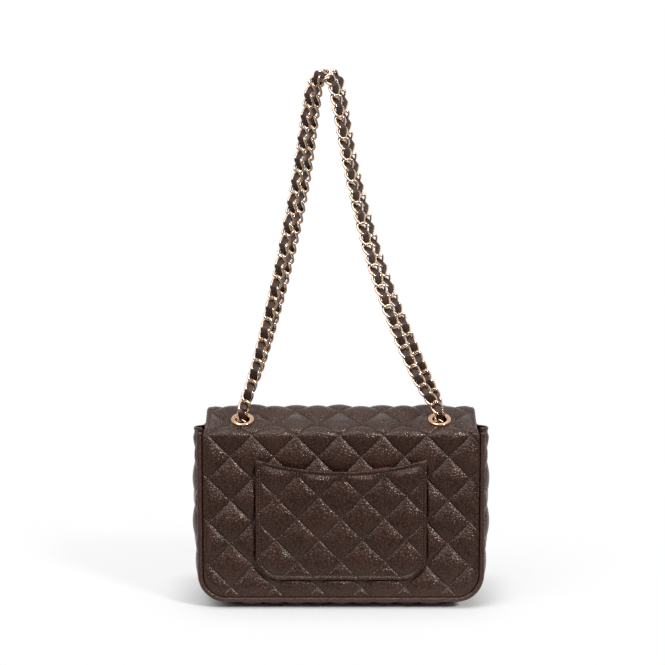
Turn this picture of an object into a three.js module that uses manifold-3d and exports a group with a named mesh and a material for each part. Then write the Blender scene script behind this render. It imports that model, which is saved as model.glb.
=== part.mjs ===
// Quilted flap bag with a doubled chain strap, as separate leather pieces, metal fittings and links.
// Millimetres, +Z up, ground at z = 0. The back with the slip pocket faces -Y, the flap front +Y.
import * as THREE from 'three';
import { mergeVertices } from 'three/addons/utils/BufferGeometryUtils.js';
import Module from 'manifold-3d';

const wasm = await Module();
wasm.setup();

// Clearance kept between neighbouring pieces, and how far a cutting shape runs past what it cuts
const GAP = 0.3;
const PAST = 1;

// Body: two padded panels, a bulging gusset between them, and a lining inside
const HALF_WIDTH = 120;
const BULGE = 11;
const CORNER_RADIUS = 20;
const CORNER_STEPS = 5;
const MOUTH_HEIGHT = 157;
const BACK_FACE = -37.5;
const FRONT_FACE = 36.5;
const PANEL = 3;
const GUSSET_WALL = 2.6;
const GUSSET_FLAT = 20;
const ROUND_STEPS = 4;
const PIPING_RADIUS = 1.2;
const PIPING_OUT = 1.7;
const BINDING_RADIUS = 1.1;
const CORD_SIDES = 6;
const BOARD = 1;
const BASE_BOARD_INSET = 3;
const BASE_BOARD_FLARE = 8;
const BASE_BOARD_END = 4;
const LINING_WALL = 1;
const LINING_INSET = 0.8;
const LINING_FRONT = 30.9;
const LINING_BACK = -32.8;
const LINING_TOP = 153;

// Slip pocket on the back
const POCKET_HALF = 73.3;
const POCKET_BOTTOM = 27.5;
const POCKET_TOP = 134;
const POCKET_DIP = 10;
const POCKET_RADIUS = 21;
const POCKET_ROOM = 5;
const POCKET_RIM = 3.5;
const POCKET_LINING = 0.6;
const POCKET_LEATHER = 2.4;

// Flap: a humped roof over the mouth that bends down over the front
const FLAP_HALF = 117.5;
const FLAP = 4;
const FLAP_LINING = 1;
const FLAP_LINING_INSET = 2;
const ROOF_SLOPE = THREE.MathUtils.degToRad(22.5);
const CREST_Y = 4;
const CREST_TOP = 174;
const CREST_RADIUS = 20;
const BACK_RUN = 34.4;
const LINING_SETBACK = 7;
const FLAP_FRONT = 43.3;
const FRONT_BEND = 12;
const FLAP_BOTTOM = 50;
const FLAP_CORNER = 24;
const BEND_STEPS = 6;

// Eyelets that the chain runs through, two behind the crest and two before it
const EYELET_X = 85.4;
const EYELET_BACK_Y = -21.4;
const EYELET_FRONT_Y = 25;
const EYELET_BORE = 6;
const EYELET_BARREL = 6.6;
const EYELET_CROWN = 7.3;
const EYELET_SHOULDER = 9;
const EYELET_FLANGE = 10;
const EYELET_HEIGHT = 2;
const EYELET_CURL = 8;
const EYELET_WASHER = 9.6;
const EYELET_SEGMENTS = 12;
const WASHER = 0.8;

// Turn lock on the front
const LOCK_Z = 74.7;
const LOCK_STEM = 2.5;
const LOCK_RIVET = [4, 0.7];
const LOCK_BASE = [8.5, 1.1];
const LOCK_COLLAR = [3.6, 4];
const LOCK_WASHER = 8;
const LOCK_BOARD_HOLE = 10;
const LOCK_BAR_LENGTH = 19;
const LOCK_BAR_WIDTH = 5.5;
const LOCK_BAR_DEPTH = 3;
const LOCK_PLATE = 1.6;
const LOCK_PLATE_HALF = [20, 14];
const LOCK_SLOT_HALF = 10.3;
const LOCK_SLOT_DOWN = 8.6;
const LOCK_SLOT_UP = 3.2;
const LOCK_WINDOW_HALF = 12;
const LOCK_WINDOW_DOWN = 12.5;
const LOCK_WINDOW_UP = 9;
const LOCK_CORNER = 4;
const LOCK_CLAMP_CORNER = 8;

// Curb chain: twisted oval links of flat-backed wire, with a leather lace woven through
const WIRE = 1.7;
const LINK_WIDTH = 8;
const END_LINK_WIDTH = 9.6;
const LINK_TWIST = 1.24;
const LINK_SIDES = 8;
const LINK_SEAT = 0.4;
const SWING_ROOM = 1;
const TURN_UP = [0.26, 0.47];
const TURN_DOWN = [0.53, 0.85];
const LACE_WIDTH = 5;
const LACE = 1.1;
const LACE_LIFT = 3.2;
const LACE_FLAT = 1.5;
const STRAP_LINKS = 66;
const BRIDGE_LINKS = 9;
const ANCHOR_LIFT = 8.5;
const BRIDGE_DROP = 9;
const BRIDGE_LOW = 147;

// Routes of the two strap loops, from the left anchor over the apex to the right anchor
const BACK_LOOP = [
  [-77, -23.2, 198], [-58.4, -18.2, 271], [-39.4, -11.8, 364], [-26.2, -6.6, 447], [-23.2, -5.6, 457],
  [-15.6, -5.4, 462],
  [-8, -5.6, 457], [-5.2, -6.6, 447], [7.6, -10.9, 378], [31, -17, 288], [67.8, -23.1, 199],
];
const FRONT_LOOP = [
  [-75, 26.4, 198], [-53.4, 21, 271], [-32.4, 13, 364], [-20.6, 6.8, 448], [-18.4, 5.7, 459],
  [-10.8, 5.4, 464],
  [-3.2, 5.7, 459], [-0.4, 6.8, 448], [12.2, 11.8, 378], [38, 19, 288], [74, 26.2, 199],
];

const leather = material(0x4a3832, 0.55, 0);
const laceLeather = material(0x54402f, 0.6, 0);
const liningCloth = material(0x6d1526, 0.7, 0);
const roseGold = material(0xe0b08c, 0.25, 1);
const board = material(0x9a8468, 0.9, 0);

function material(color, roughness, metalness) {
  return new THREE.MeshStandardMaterial({ color, roughness, metalness, flatShading: true });
}

// A closed geometry with shared corners merged and its faces turned outwards
function solid(geometry) {
  geometry.deleteAttribute('normal');
  geometry.deleteAttribute('uv');
  geometry.clearGroups();
  const merged = mergeVertices(geometry, 1e-4);
  const corner = [0, 1, 2].map(() => new THREE.Vector3());
  const index = merged.index.array;
  let volume = 0;
  for (let i = 0; i < index.length; i += 3) {
    corner.forEach((point, k) => point.fromBufferAttribute(merged.attributes.position, index[i + k]));
    volume += corner[0].dot(corner[1].cross(corner[2]));
  }
  if (volume < 0) {
    index.reverse();
  }
  return merged;
}

function toManifold(geometry) {
  const closed = solid(geometry);
  const vertProperties = new Float32Array(closed.attributes.position.array);
  const triVerts = new Uint32Array(closed.index.array);
  return new wasm.Manifold(new wasm.Mesh({ numProp: 3, vertProperties, triVerts }));
}

function fromManifold(manifold) {
  const mesh = manifold.getMesh();
  const geometry = new THREE.BufferGeometry();
  geometry.setAttribute('position', new THREE.BufferAttribute(new Float32Array(mesh.vertProperties), 3));
  geometry.setIndex(new THREE.BufferAttribute(new Uint32Array(mesh.triVerts), 1));
  return geometry;
}

function cut(geometry, ...tools) {
  const rest = tools.reduce((left, tool) => left.subtract(toManifold(tool)), toManifold(geometry));
  return fromManifold(rest);
}

function join(...pieces) {
  const [first, ...others] = pieces.map(toManifold);
  return fromManifold(others.reduce((sum, piece) => sum.add(piece), first));
}

// A sweep through rings of points; without a cap outline the last ring closes onto the first
function sweep(rings, capOutline) {
  const count = rings[0].length;
  const positions = rings.flat().flatMap((point) => point.toArray());
  const index = [];
  const spans = capOutline ? rings.length - 1 : rings.length;
  for (let i = 0; i < spans; i += 1) {
    const here = i * count;
    const there = ((i + 1) % rings.length) * count;
    for (let j = 0; j < count; j += 1) {
      const next = (j + 1) % count;
      index.push(here + j, there + j, there + next, here + j, there + next, here + next);
    }
  }
  if (capOutline) {
    const turn = THREE.ShapeUtils.isClockWise(capOutline) ? -1 : 1;
    const last = (rings.length - 1) * count;
    for (const [a, b, c] of THREE.ShapeUtils.triangulateShape(capOutline, [])) {
      const [p, q] = turn > 0 ? [b, c] : [c, b];
      index.push(a, p, q, last + a, last + q, last + p);
    }
  }
  const geometry = new THREE.BufferGeometry();
  geometry.setAttribute('position', new THREE.Float32BufferAttribute(positions, 3));
  geometry.setIndex(index);
  return geometry;
}

// A shape drawn in x and z, thick from one y to another
function slab(shape, fromY, toY, curveSegments = CORNER_STEPS) {
  const depth = toY - fromY;
  const geometry = new THREE.ExtrudeGeometry(shape, { depth, bevelEnabled: false, curveSegments });
  return geometry.rotateX(Math.PI / 2).translate(0, toY, 0);
}

// A profile drawn in y and z, drawn out along x to both sides of the middle
function band(points, halfWidth) {
  const shape = new THREE.Shape(points);
  const geometry = new THREE.ExtrudeGeometry(shape, { depth: 2 * halfWidth, bevelEnabled: false });
  const axes = new THREE.Matrix4().makeBasis(
    new THREE.Vector3(0, 1, 0), new THREE.Vector3(0, 0, 1), new THREE.Vector3(1, 0, 0));
  return geometry.applyMatrix4(axes).translate(-halfWidth, 0, 0);
}

// A rectangle in x and z with rounded corners at the foot only, or all round
function roundedOutline(left, right, low, high, radius, roundTop = false) {
  const shape = new THREE.Shape();
  const topRadius = roundTop ? radius : 0;
  shape.moveTo(left, high - topRadius);
  shape.lineTo(left, low + radius);
  shape.absarc(left + radius, low + radius, radius, Math.PI, 1.5 * Math.PI, false);
  shape.lineTo(right - radius, low);
  shape.absarc(right - radius, low + radius, radius, 1.5 * Math.PI, 2 * Math.PI, false);
  shape.lineTo(right, high - topRadius);
  if (roundTop) {
    shape.absarc(right - radius, high - radius, radius, 0, 0.5 * Math.PI, false);
    shape.lineTo(left + radius, high);
    shape.absarc(left + radius, high - radius, radius, 0.5 * Math.PI, Math.PI, false);
  }
  return shape;
}

function panelOutline(inset, top) {
  const half = HALF_WIDTH - inset;
  return roundedOutline(-half, half, BULGE + inset, top, CORNER_RADIUS - inset);
}

// Stations round the side and bottom seam, with the direction that points out of the bag
function seamStations(top) {
  const stations = [{ x: -HALF_WIDTH, z: top, angle: Math.PI }];
  for (const side of [-1, 1]) {
    const start = side < 0 ? Math.PI : 1.5 * Math.PI;
    for (let i = 0; i <= CORNER_STEPS; i += 1) {
      const angle = start + (0.5 * Math.PI * i) / CORNER_STEPS;
      stations.push({
        x: side * (HALF_WIDTH - CORNER_RADIUS) + CORNER_RADIUS * Math.cos(angle),
        z: BULGE + CORNER_RADIUS + CORNER_RADIUS * Math.sin(angle),
        angle,
      });
    }
  }
  stations.push({ x: HALF_WIDTH, z: top, angle: 2 * Math.PI });
  return stations;
}

function sweepRoundSeam(section, top) {
  const rings = seamStations(top).map(({ x, z, angle }) => section.map(
    (point) => new THREE.Vector3(x + point.y * Math.cos(angle), point.x, z + point.y * Math.sin(angle))));
  return sweep(rings, section);
}

// Points of the gusset's bulge across its depth: x is the depth along Y, y the way out of the seam
function gussetBulge(wall) {
  const back = BACK_FACE + PANEL + GAP;
  const front = FRONT_FACE - PANEL - GAP;
  const middle = (back + front) / 2;
  const round = (front - back) / 2 - GUSSET_FLAT - wall;
  const points = [];
  for (const side of [-1, 1]) {
    for (let i = 0; i <= ROUND_STEPS; i += 1) {
      const turn = (0.5 * Math.PI * (side < 0 ? ROUND_STEPS - i : i)) / ROUND_STEPS;
      const depth = middle + side * (GUSSET_FLAT + round * Math.sin(turn));
      points.push(new THREE.Vector2(depth, (BULGE - wall) * Math.cos(turn)));
    }
  }
  return points;
}

function circle(centreX, centreY, radius, sides) {
  return Array.from({ length: sides }, (_, i) => {
    const angle = (2 * Math.PI * i) / sides;
    return new THREE.Vector2(centreX + radius * Math.cos(angle), centreY + radius * Math.sin(angle));
  });
}

// Points of the flap's curve at a depth under its outer face, from the hinge line to the lower edge
function flapCurve(depth, backRun = BACK_RUN, bottom = FLAP_BOTTOM) {
  const crest = new THREE.Vector2(CREST_Y, CREST_TOP - CREST_RADIUS);
  const normal = new THREE.Vector2(Math.sin(ROOF_SLOPE), Math.cos(ROOF_SLOPE));
  const bendY = FLAP_FRONT - FRONT_BEND;
  const reach = crest.dot(normal) + CREST_RADIUS - FRONT_BEND;
  const bend = new THREE.Vector2(bendY, (reach - bendY * normal.x) / normal.y);
  const points = [];
  for (let i = 0; i <= BEND_STEPS; i += 1) {
    const angle = 0.5 * Math.PI + ROOF_SLOPE - (2 * ROOF_SLOPE * i) / BEND_STEPS;
    points.push(onArc(crest, CREST_RADIUS - depth, angle));
  }
  const back = new THREE.Vector2(-normal.y, -normal.x).multiplyScalar(backRun).add(points[0]);
  for (let i = 0; i <= BEND_STEPS; i += 1) {
    const angle = (0.5 * Math.PI - ROOF_SLOPE) * (1 - i / BEND_STEPS);
    points.push(onArc(bend, FRONT_BEND - depth, angle));
  }
  points.push(new THREE.Vector2(FLAP_FRONT - depth, bottom));
  return [back, ...points];
}

function onArc(centre, radius, angle) {
  return new THREE.Vector2(centre.x + radius * Math.cos(angle), centre.y + radius * Math.sin(angle));
}

const hinge = flapCurve(FLAP / 2)[0];

// The point of the roof over a given y, with the direction that points out of the leather
function roofPoint(y, x) {
  const side = Math.sign(y - CREST_Y);
  const normal = new THREE.Vector3(0, side * Math.sin(ROOF_SLOPE), Math.cos(ROOF_SLOPE));
  const crestZ = CREST_TOP - CREST_RADIUS;
  const z = crestZ + (CREST_RADIUS - (y - CREST_Y) * normal.y) / normal.z;
  return { point: new THREE.Vector3(x, y, z), normal, tilt: 0.5 * Math.PI - side * ROOF_SLOPE };
}

function eyeletPlaces() {
  const places = [];
  for (const [row, y] of [['back', EYELET_BACK_Y], ['front', EYELET_FRONT_Y]]) {
    for (const [side, x] of [['left', -EYELET_X], ['right', EYELET_X]]) {
      places.push({ name: `${row}_${side}`, ...roofPoint(y, x) });
    }
  }
  return places;
}

function lockOutline(half, low, high, radius) {
  return roundedOutline(-half, half, low, high, radius, true);
}

function lockWindow(fromY, toY) {
  const low = LOCK_Z - LOCK_WINDOW_DOWN;
  const high = LOCK_Z + LOCK_WINDOW_UP;
  return slab(lockOutline(LOCK_WINDOW_HALF, low, high, LOCK_CORNER), fromY, toY);
}

function eyeletHole({ point, tilt }) {
  const radius = EYELET_BARREL + GAP;
  const hole = new THREE.CylinderGeometry(radius, radius, 2 * CREST_RADIUS, EYELET_SEGMENTS);
  return hole.rotateX(tilt).translate(point.x, point.y, point.z);
}

// A round piece about the Y axis, from a profile of radius and place along the axis
function turned(profile) {
  const points = profile.map(([radius, along]) => new THREE.Vector2(radius, along));
  return new THREE.LatheGeometry([...points, points[0]], EYELET_SEGMENTS);
}

function plug(radius, low, high) {
  return turned([[0, low], [radius, low], [radius, high], [0, high]]);
}

function ring(inner, outer, low, high) {
  return turned([[inner, low], [outer, low], [outer, high], [inner, high]]);
}

function makeBody() {
  const body = new THREE.Group();
  const lockHole = plug(LOCK_STEM + 2 * GAP, 0, FRONT_FACE + PAST).translate(0, 0, LOCK_Z);
  const boardHole = plug(LOCK_BOARD_HOLE, 0, FRONT_FACE).translate(0, 0, LOCK_Z);
  const backTop = hinge.y - FLAP / 2 - GAP;
  const backInner = BACK_FACE + PANEL + GAP;
  const frontInner = FRONT_FACE - PANEL - GAP;
  const pieceTop = MOUTH_HEIGHT - 2 * BINDING_RADIUS;
  addPiece(body, 'back_panel', slab(panelOutline(0, backTop), BACK_FACE, BACK_FACE + PANEL), leather);
  const front = slab(panelOutline(0, pieceTop), FRONT_FACE - PANEL, FRONT_FACE);
  addPiece(body, 'front_panel', cut(front, lockHole), leather);
  const section = [...gussetBulge(0), ...gussetBulge(GUSSET_WALL).reverse()];
  addPiece(body, 'gusset', sweepRoundSeam(section, pieceTop), leather);
  const seams = [['back_piping', BACK_FACE + PANEL / 2], ['front_piping', FRONT_FACE - PANEL / 2]];
  for (const [name, y] of seams) {
    const cord = circle(y, PIPING_OUT, PIPING_RADIUS, CORD_SIDES);
    addPiece(body, name, sweepRoundSeam(cord, pieceTop), leather);
  }
  for (const [name, side] of [['mouth_binding_left', -1], ['mouth_binding_right', 1]]) {
    addPiece(body, name, mouthBinding(side), leather);
  }
  const boardOutline = panelOutline(LINING_INSET, LINING_TOP);
  addPiece(body, 'back_board', slab(boardOutline, backInner, backInner + BOARD), board);
  const frontBoard = slab(boardOutline, frontInner - BOARD, frontInner);
  addPiece(body, 'front_board', cut(frontBoard, boardHole), board);
  addPiece(body, 'base_board', baseBoard(), board);
  addPiece(body, 'lining', liningBag(), liningCloth);
  addPocket(body);
  const [baseRadius, baseDepth] = LOCK_BASE;
  const [collarRadius, collarDepth] = LOCK_COLLAR;
  const bore = LOCK_STEM + GAP;
  const base = turned([
    [bore, FRONT_FACE + GAP],
    [baseRadius, FRONT_FACE + GAP],
    [baseRadius, FRONT_FACE + baseDepth],
    [collarRadius, FRONT_FACE + baseDepth],
    [collarRadius, FRONT_FACE + collarDepth],
    [bore, FRONT_FACE + collarDepth],
  ]);
  addPiece(body, 'lock_base', base.translate(0, 0, LOCK_Z), roseGold);
  const washer = ring(bore, LOCK_WASHER, frontInner - BOARD, frontInner);
  addPiece(body, 'lock_washer', washer.translate(0, 0, LOCK_Z), roseGold);
  return body;
}

// The bound top edge of one gusset side
function mouthBinding(side) {
  const outer = gussetBulge(GUSSET_WALL / 2);
  const cord = circle(0, 0, BINDING_RADIUS, CORD_SIDES);
  const rings = outer.map(({ x, y }, i) => {
    const before = outer[Math.max(i - 1, 0)];
    const after = outer[Math.min(i + 1, outer.length - 1)];
    const along = after.clone().sub(before).normalize();
    return cord.map((point) => new THREE.Vector3(
      side * (HALF_WIDTH + y + point.x * along.x),
      x - point.x * along.y,
      MOUTH_HEIGHT - BINDING_RADIUS + GAP + point.y));
  });
  return sweep(rings, cord);
}

// The stiff filler that keeps the bottom flat, shaped to the hollow of the gusset
function baseBoard() {
  const low = GUSSET_WALL + GAP;
  const high = BULGE + LINING_INSET - GAP;
  const middle = (BACK_FACE + FRONT_FACE) / 2;
  const foot = GUSSET_FLAT - BASE_BOARD_INSET;
  const head = foot + BASE_BOARD_FLARE;
  const profile = [[-foot, low], [foot, low], [head, high], [-head, high]];
  const points = profile.map(([y, z]) => new THREE.Vector2(middle + y, z));
  return band(points, HALF_WIDTH - CORNER_RADIUS - BASE_BOARD_END);
}

function liningBag() {
  const outside = slab(panelOutline(LINING_INSET, LINING_TOP), LINING_BACK, LINING_FRONT);
  const inset = LINING_INSET + LINING_WALL;
  const hollowOutline = panelOutline(inset, LINING_TOP + PAST);
  const hollow = slab(hollowOutline, LINING_BACK + LINING_WALL, LINING_FRONT - LINING_WALL);
  return cut(outside, hollow);
}

// Outline of the slip pocket with its dipped mouth
function pocketOutline(inset, top) {
  const half = POCKET_HALF - inset;
  const low = POCKET_BOTTOM + inset;
  const radius = POCKET_RADIUS - inset;
  const shape = new THREE.Shape();
  shape.moveTo(-half, top);
  shape.lineTo(-half, low + radius);
  shape.absarc(-half + radius, low + radius, radius, Math.PI, 1.5 * Math.PI, false);
  shape.lineTo(half - radius, low);
  shape.absarc(half - radius, low + radius, radius, 1.5 * Math.PI, 2 * Math.PI, false);
  shape.lineTo(half, top);
  shape.quadraticCurveTo(0, top - 2 * POCKET_DIP, -half, top);
  return shape;
}

function addPocket(body) {
  const liningFace = BACK_FACE - POCKET_ROOM;
  const liningBack = liningFace - POCKET_LINING;
  const leatherIn = liningBack - GAP;
  const leatherOut = leatherIn - POCKET_LEATHER;
  const tray = slab(pocketOutline(0, POCKET_TOP), leatherOut, BACK_FACE - GAP);
  const half = POCKET_HALF - POCKET_RIM;
  const low = POCKET_BOTTOM + POCKET_RIM;
  const roomOutline = roundedOutline(-half, half, low, POCKET_TOP + PAST, POCKET_RADIUS - POCKET_RIM);
  const room = slab(roomOutline, leatherIn, BACK_FACE);
  addPiece(body, 'back_pocket', cut(tray, room), leather);
  const sheet = slab(pocketOutline(POCKET_RIM + GAP, POCKET_TOP), liningBack, liningFace);
  addPiece(body, 'back_pocket_lining', sheet, liningCloth);
}

function makeFlap() {
  const flap = new THREE.Group();
  const places = eyeletPlaces();
  const corners = roundedOutline(-FLAP_HALF, FLAP_HALF, FLAP_BOTTOM, CREST_TOP + PAST, FLAP_CORNER);
  const trim = toManifold(slab(corners, BACK_FACE - FLAP, FLAP_FRONT + PAST));
  const holes = [...places.map(eyeletHole), lockWindow(FRONT_FACE, FLAP_FRONT + PAST)];
  const inner = flapCurve(FLAP).reverse();
  const knuckle = [-1, 0, 1].map((i) => {
    const angle = Math.PI + ROOF_SLOPE - 0.25 * i * Math.PI;
    return onArc(hinge, FLAP / 2, angle);
  });
  const shell = toManifold(band([...flapCurve(0), ...inner, ...knuckle], FLAP_HALF)).intersect(trim);
  addPiece(flap, 'flap', cut(fromManifold(shell), ...holes), leather);
  const run = BACK_RUN - LINING_SETBACK;
  const bottom = FLAP_BOTTOM + LINING_SETBACK;
  const outside = flapCurve(FLAP + GAP, run, bottom);
  const inside = flapCurve(FLAP + GAP + FLAP_LINING, run, bottom).reverse();
  const sheet = band([...outside, ...inside], FLAP_HALF - FLAP_LINING_INSET);
  addPiece(flap, 'flap_lining', cut(sheet, ...holes), liningCloth);
  places.forEach((place) => addEyelet(flap, place));
  addLockPlates(flap);
  for (const [name, x] of [['left', -EYELET_X], ['right', EYELET_X]]) {
    const route = bridgeRoute(x);
    addPiece(flap, `chain_bridge_${name}`, chainRun(route, 0, BRIDGE_LINKS), roseGold);
    addPiece(flap, `lace_bridge_${name}`, laceRun(route, 1, BRIDGE_LINKS - 1), laceLeather);
  }
  return flap;
}

// An eyelet rolled over the leather outside and over its washer inside
function addEyelet(flap, { name, point, tilt }) {
  const seat = -(FLAP + FLAP_LINING + 2 * GAP);
  const curl = seat - WASHER - GAP;
  const profile = [
    [EYELET_BORE, EYELET_HEIGHT / 2],
    [EYELET_CROWN, EYELET_HEIGHT],
    [EYELET_SHOULDER, EYELET_HEIGHT - GAP],
    [EYELET_FLANGE, GAP],
    [EYELET_BARREL, GAP],
    [EYELET_BARREL, curl],
    [EYELET_CURL, curl],
    [EYELET_CURL, curl - WASHER],
    [EYELET_BORE, curl - WASHER],
  ];
  const washerRing = ring(EYELET_BARREL + GAP, EYELET_WASHER, seat - WASHER, seat);
  const eyelet = addPiece(flap, `eyelet_${name}`, turned(profile), roseGold);
  const washer = addPiece(flap, `eyelet_washer_${name}`, washerRing, roseGold);
  for (const mesh of [eyelet, washer]) {
    mesh.position.copy(point);
    mesh.rotation.x = tilt;
  }
}

// The slotted plate on the flap's face and the ring that clamps it from inside
function addLockPlates(flap) {
  const [halfX, halfZ] = LOCK_PLATE_HALF;
  const middle = LOCK_Z + (LOCK_SLOT_UP - LOCK_SLOT_DOWN) / 2;
  const face = FLAP_FRONT + GAP;
  const outline = lockOutline(halfX, middle - halfZ, middle + halfZ, halfZ - PAST);
  const plate = slab(outline, face, face + LOCK_PLATE);
  const slotLow = LOCK_Z - LOCK_SLOT_DOWN;
  const slotOutline = lockOutline(LOCK_SLOT_HALF, slotLow, LOCK_Z + LOCK_SLOT_UP, LOCK_CORNER);
  const slot = slab(slotOutline, face - PAST, face + LOCK_PLATE + PAST);
  addPiece(flap, 'lock_plate', cut(plate, slot), roseGold);
  const back = FLAP_FRONT - FLAP - FLAP_LINING - 2 * GAP;
  const low = LOCK_Z - LOCK_WINDOW_DOWN - LOCK_CORNER;
  const high = LOCK_Z + LOCK_WINDOW_UP + LOCK_CORNER;
  const half = LOCK_WINDOW_HALF + LOCK_CORNER;
  const clamp = slab(lockOutline(half, low, high, LOCK_CLAMP_CORNER), back - WASHER, back);
  addPiece(flap, 'lock_plate_clamp', cut(clamp, lockWindow(back - 2 * PAST, back + PAST)), roseGold);
}

// The bar that turns across the slot, on a stem riveted through the front panel
function makeTurnLock() {
  const lock = new THREE.Group();
  const barBack = FLAP_FRONT + GAP + LOCK_PLATE + 2 * GAP;
  const half = LOCK_BAR_LENGTH / 2;
  const edge = LOCK_BAR_WIDTH / 2;
  const outline = lockOutline(half, LOCK_Z - edge, LOCK_Z + edge, edge - GAP);
  const bar = slab(outline, barBack, barBack + LOCK_BAR_DEPTH);
  const rivet = FRONT_FACE - PANEL - BOARD - 2 * GAP;
  const [headRadius, headDepth] = LOCK_RIVET;
  const stem = turned([
    [0, rivet - headDepth],
    [headRadius, rivet - headDepth],
    [headRadius, rivet],
    [LOCK_STEM, rivet],
    [LOCK_STEM, barBack + PAST],
    [0, barBack + PAST],
  ]).translate(0, 0, LOCK_Z);
  addPiece(lock, 'lock_bar', join(bar, stem), roseGold);
  return lock;
}

// Where the chain stands up out of an eyelet, which is where the strap swings
function anchorPoint(y, x) {
  const { point, normal } = roofPoint(y, x);
  return point.addScaledVector(normal, ANCHOR_LIFT);
}

// The route under the flap from one anchor through both eyelets to the other; the untwisted end links
// stand edge on, so that the strap can swing on them
function bridgeRoute(x) {
  const under = [EYELET_BACK_Y, EYELET_FRONT_Y].map((y) => {
    const { point, normal } = roofPoint(y, x);
    return point.addScaledVector(normal, -BRIDGE_DROP);
  });
  const low = new THREE.Vector3(x, (under[0].y + under[1].y) / 2, BRIDGE_LOW);
  const points = [anchorPoint(EYELET_BACK_Y, x), under[0], low, under[1], anchorPoint(EYELET_FRONT_Y, x)];
  const curve = new THREE.CatmullRomCurve3(points, false, 'centripetal');
  const route = chainRoute(curve, BRIDGE_LINKS, (along) => new THREE.Vector3(0, -along.z, along.y));
  for (const link of [route.links[0], route.links[BRIDGE_LINKS - 1]]) {
    [link.across, link.out] = [link.out, link.across];
    link.twist = 0;
    link.width = END_LINK_WIDTH;
  }
  return route;
}

// A strap loop stands flat to the front and back, and turns its flat side up where it passes the apex
function loopRoute(y, middle) {
  const points = middle.map((place) => new THREE.Vector3(...place));
  const ends = [anchorPoint(y, -EYELET_X), anchorPoint(y, EYELET_X)];
  const curve = new THREE.CatmullRomCurve3([ends[0], ...points, ends[1]], false, 'centripetal');
  const facing = (along, share) => {
    const rise = THREE.MathUtils.smoothstep(share, ...TURN_UP);
    const fall = THREE.MathUtils.smoothstep(share, ...TURN_DOWN);
    const turn = 0.5 * Math.PI * (rise - fall);
    const outward = new THREE.Vector3(-along.z, 0, along.x).multiplyScalar(Math.sin(turn));
    return outward.add(new THREE.Vector3(0, -Math.cos(turn), 0));
  };
  return chainRoute(curve, STRAP_LINKS, facing);
}

// Junctions between links, and each link's own axes: along, across its width and out of its flat side
function chainRoute(curve, count, facing) {
  const junctions = Array.from({ length: count + 1 }, (_, i) => curve.getPointAt(i / count));
  const links = Array.from({ length: count }, (_, i) => {
    const along = junctions[i + 1].clone().sub(junctions[i]);
    const length = along.length();
    along.divideScalar(length);
    const out = facing(along, (i + 0.5) / count);
    out.addScaledVector(along, -out.dot(along)).normalize();
    const across = out.clone().cross(along);
    const middle = junctions[i].clone().add(junctions[i + 1]).multiplyScalar(0.5);
    return { middle, along, across, out, length, width: LINK_WIDTH, twist: LINK_TWIST };
  });
  return { junctions, links };
}

// One twisted link: an eight-sided oval whose two ends lean opposite ways, so that neighbours cross
function linkGeometry({ middle, along, across, out, length, width, twist }, start, end) {
  const flat = Math.cos(Math.PI / LINK_SIDES);
  const corners = [[-WIRE / 2, 0], [WIRE / 2, WIRE / 2], [WIRE / 2, -WIRE / 2]];
  const rings = Array.from({ length: LINK_SIDES }, (_, i) => {
    const turn = (2 * Math.PI * (i + 0.5)) / LINK_SIDES;
    const forward = Math.cos(turn);
    const side = Math.sin(turn);
    const half = forward > 0 ? end : start;
    const reach = length / 2 + half.reach;
    const lean = half.twisted ? twist * Math.sign(forward * side) : 0;
    const away = along.clone().multiplyScalar(forward).addScaledVector(across, side);
    const centre = middle.clone()
      .addScaledVector(along, (reach / flat) * forward)
      .addScaledVector(across, (width / 2 / flat) * side)
      .addScaledVector(out, lean);
    return corners.map(([outward, up]) => centre.clone()
      .addScaledVector(away, outward)
      .addScaledVector(out, up));
  });
  return sweep(rings);
}

// Links from one number to another, seated in each other; an anchored end is flat and has room to swing
function chainRun(route, first, last) {
  const seated = { reach: (WIRE - LINK_SEAT) / 2, twisted: true };
  const anchored = { reach: (WIRE + SWING_ROOM) / 2, twisted: false };
  const hanging = { reach: (WIRE + GAP) / 2, twisted: true };
  const endAt = (junction) => (junction % route.links.length === 0 ? anchored : hanging);
  const links = [];
  for (let i = first; i < last; i += 1) {
    const start = i === first ? endAt(first) : seated;
    const end = i === last - 1 ? endAt(last) : seated;
    links.push(linkGeometry(route.links[i], start, end));
  }
  return join(...links);
}

// How much further the lace stands off where it goes round the outside of a bend between two links
function roundBend(before, after, face) {
  const outside = before.out.clone().add(after.out).setLength(face / 2);
  const bend = Math.asin(Math.max(0, before.along.clone().sub(after.along).dot(outside)));
  return LACE_FLAT * Math.tan(bend) + LACE_LIFT * (1 / Math.cos(bend) - 1);
}

// The lace passes over one junction and under the next, from mid-way along its first link to its last
function laceRun(route, first, last) {
  const corners = [[-1, -1], [1, -1], [1, 1], [-1, 1]];
  const ringAt = (point, link, lift) => corners.map(([side, face]) => point.clone()
    .addScaledVector(link.across, (side * LACE_WIDTH) / 2)
    .addScaledVector(link.out, lift + (face * LACE) / 2));
  const rings = [ringAt(route.links[first].middle, route.links[first], 0)];
  for (let i = first + 1; i < last; i += 1) {
    const [before, after] = [route.links[i - 1], route.links[i]];
    const face = i % 2 === 0 ? 1 : -1;
    const lift = face * (LACE_LIFT + roundBend(before, after, face));
    for (const [link, step] of [[before, -LACE_FLAT], [after, LACE_FLAT]]) {
      rings.push(ringAt(route.junctions[i].clone().addScaledVector(link.along, step), link, lift));
    }
  }
  rings.push(ringAt(route.links[last - 1].middle, route.links[last - 1], 0));
  return sweep(rings, corners.map(([x, y]) => new THREE.Vector2(x, y)));
}

function makeStrap(row, y, middle) {
  const strap = new THREE.Group();
  const route = loopRoute(y, middle);
  const apex = STRAP_LINKS / 2;
  for (const [side, first, last] of [['left', 0, apex], ['right', apex, STRAP_LINKS]]) {
    addPiece(strap, `chain_${row}_${side}`, chainRun(route, first, last), roseGold);
    addPiece(strap, `lace_${row}_${side}`, laceRun(route, first, last), laceLeather);
  }
  return strap;
}

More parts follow.
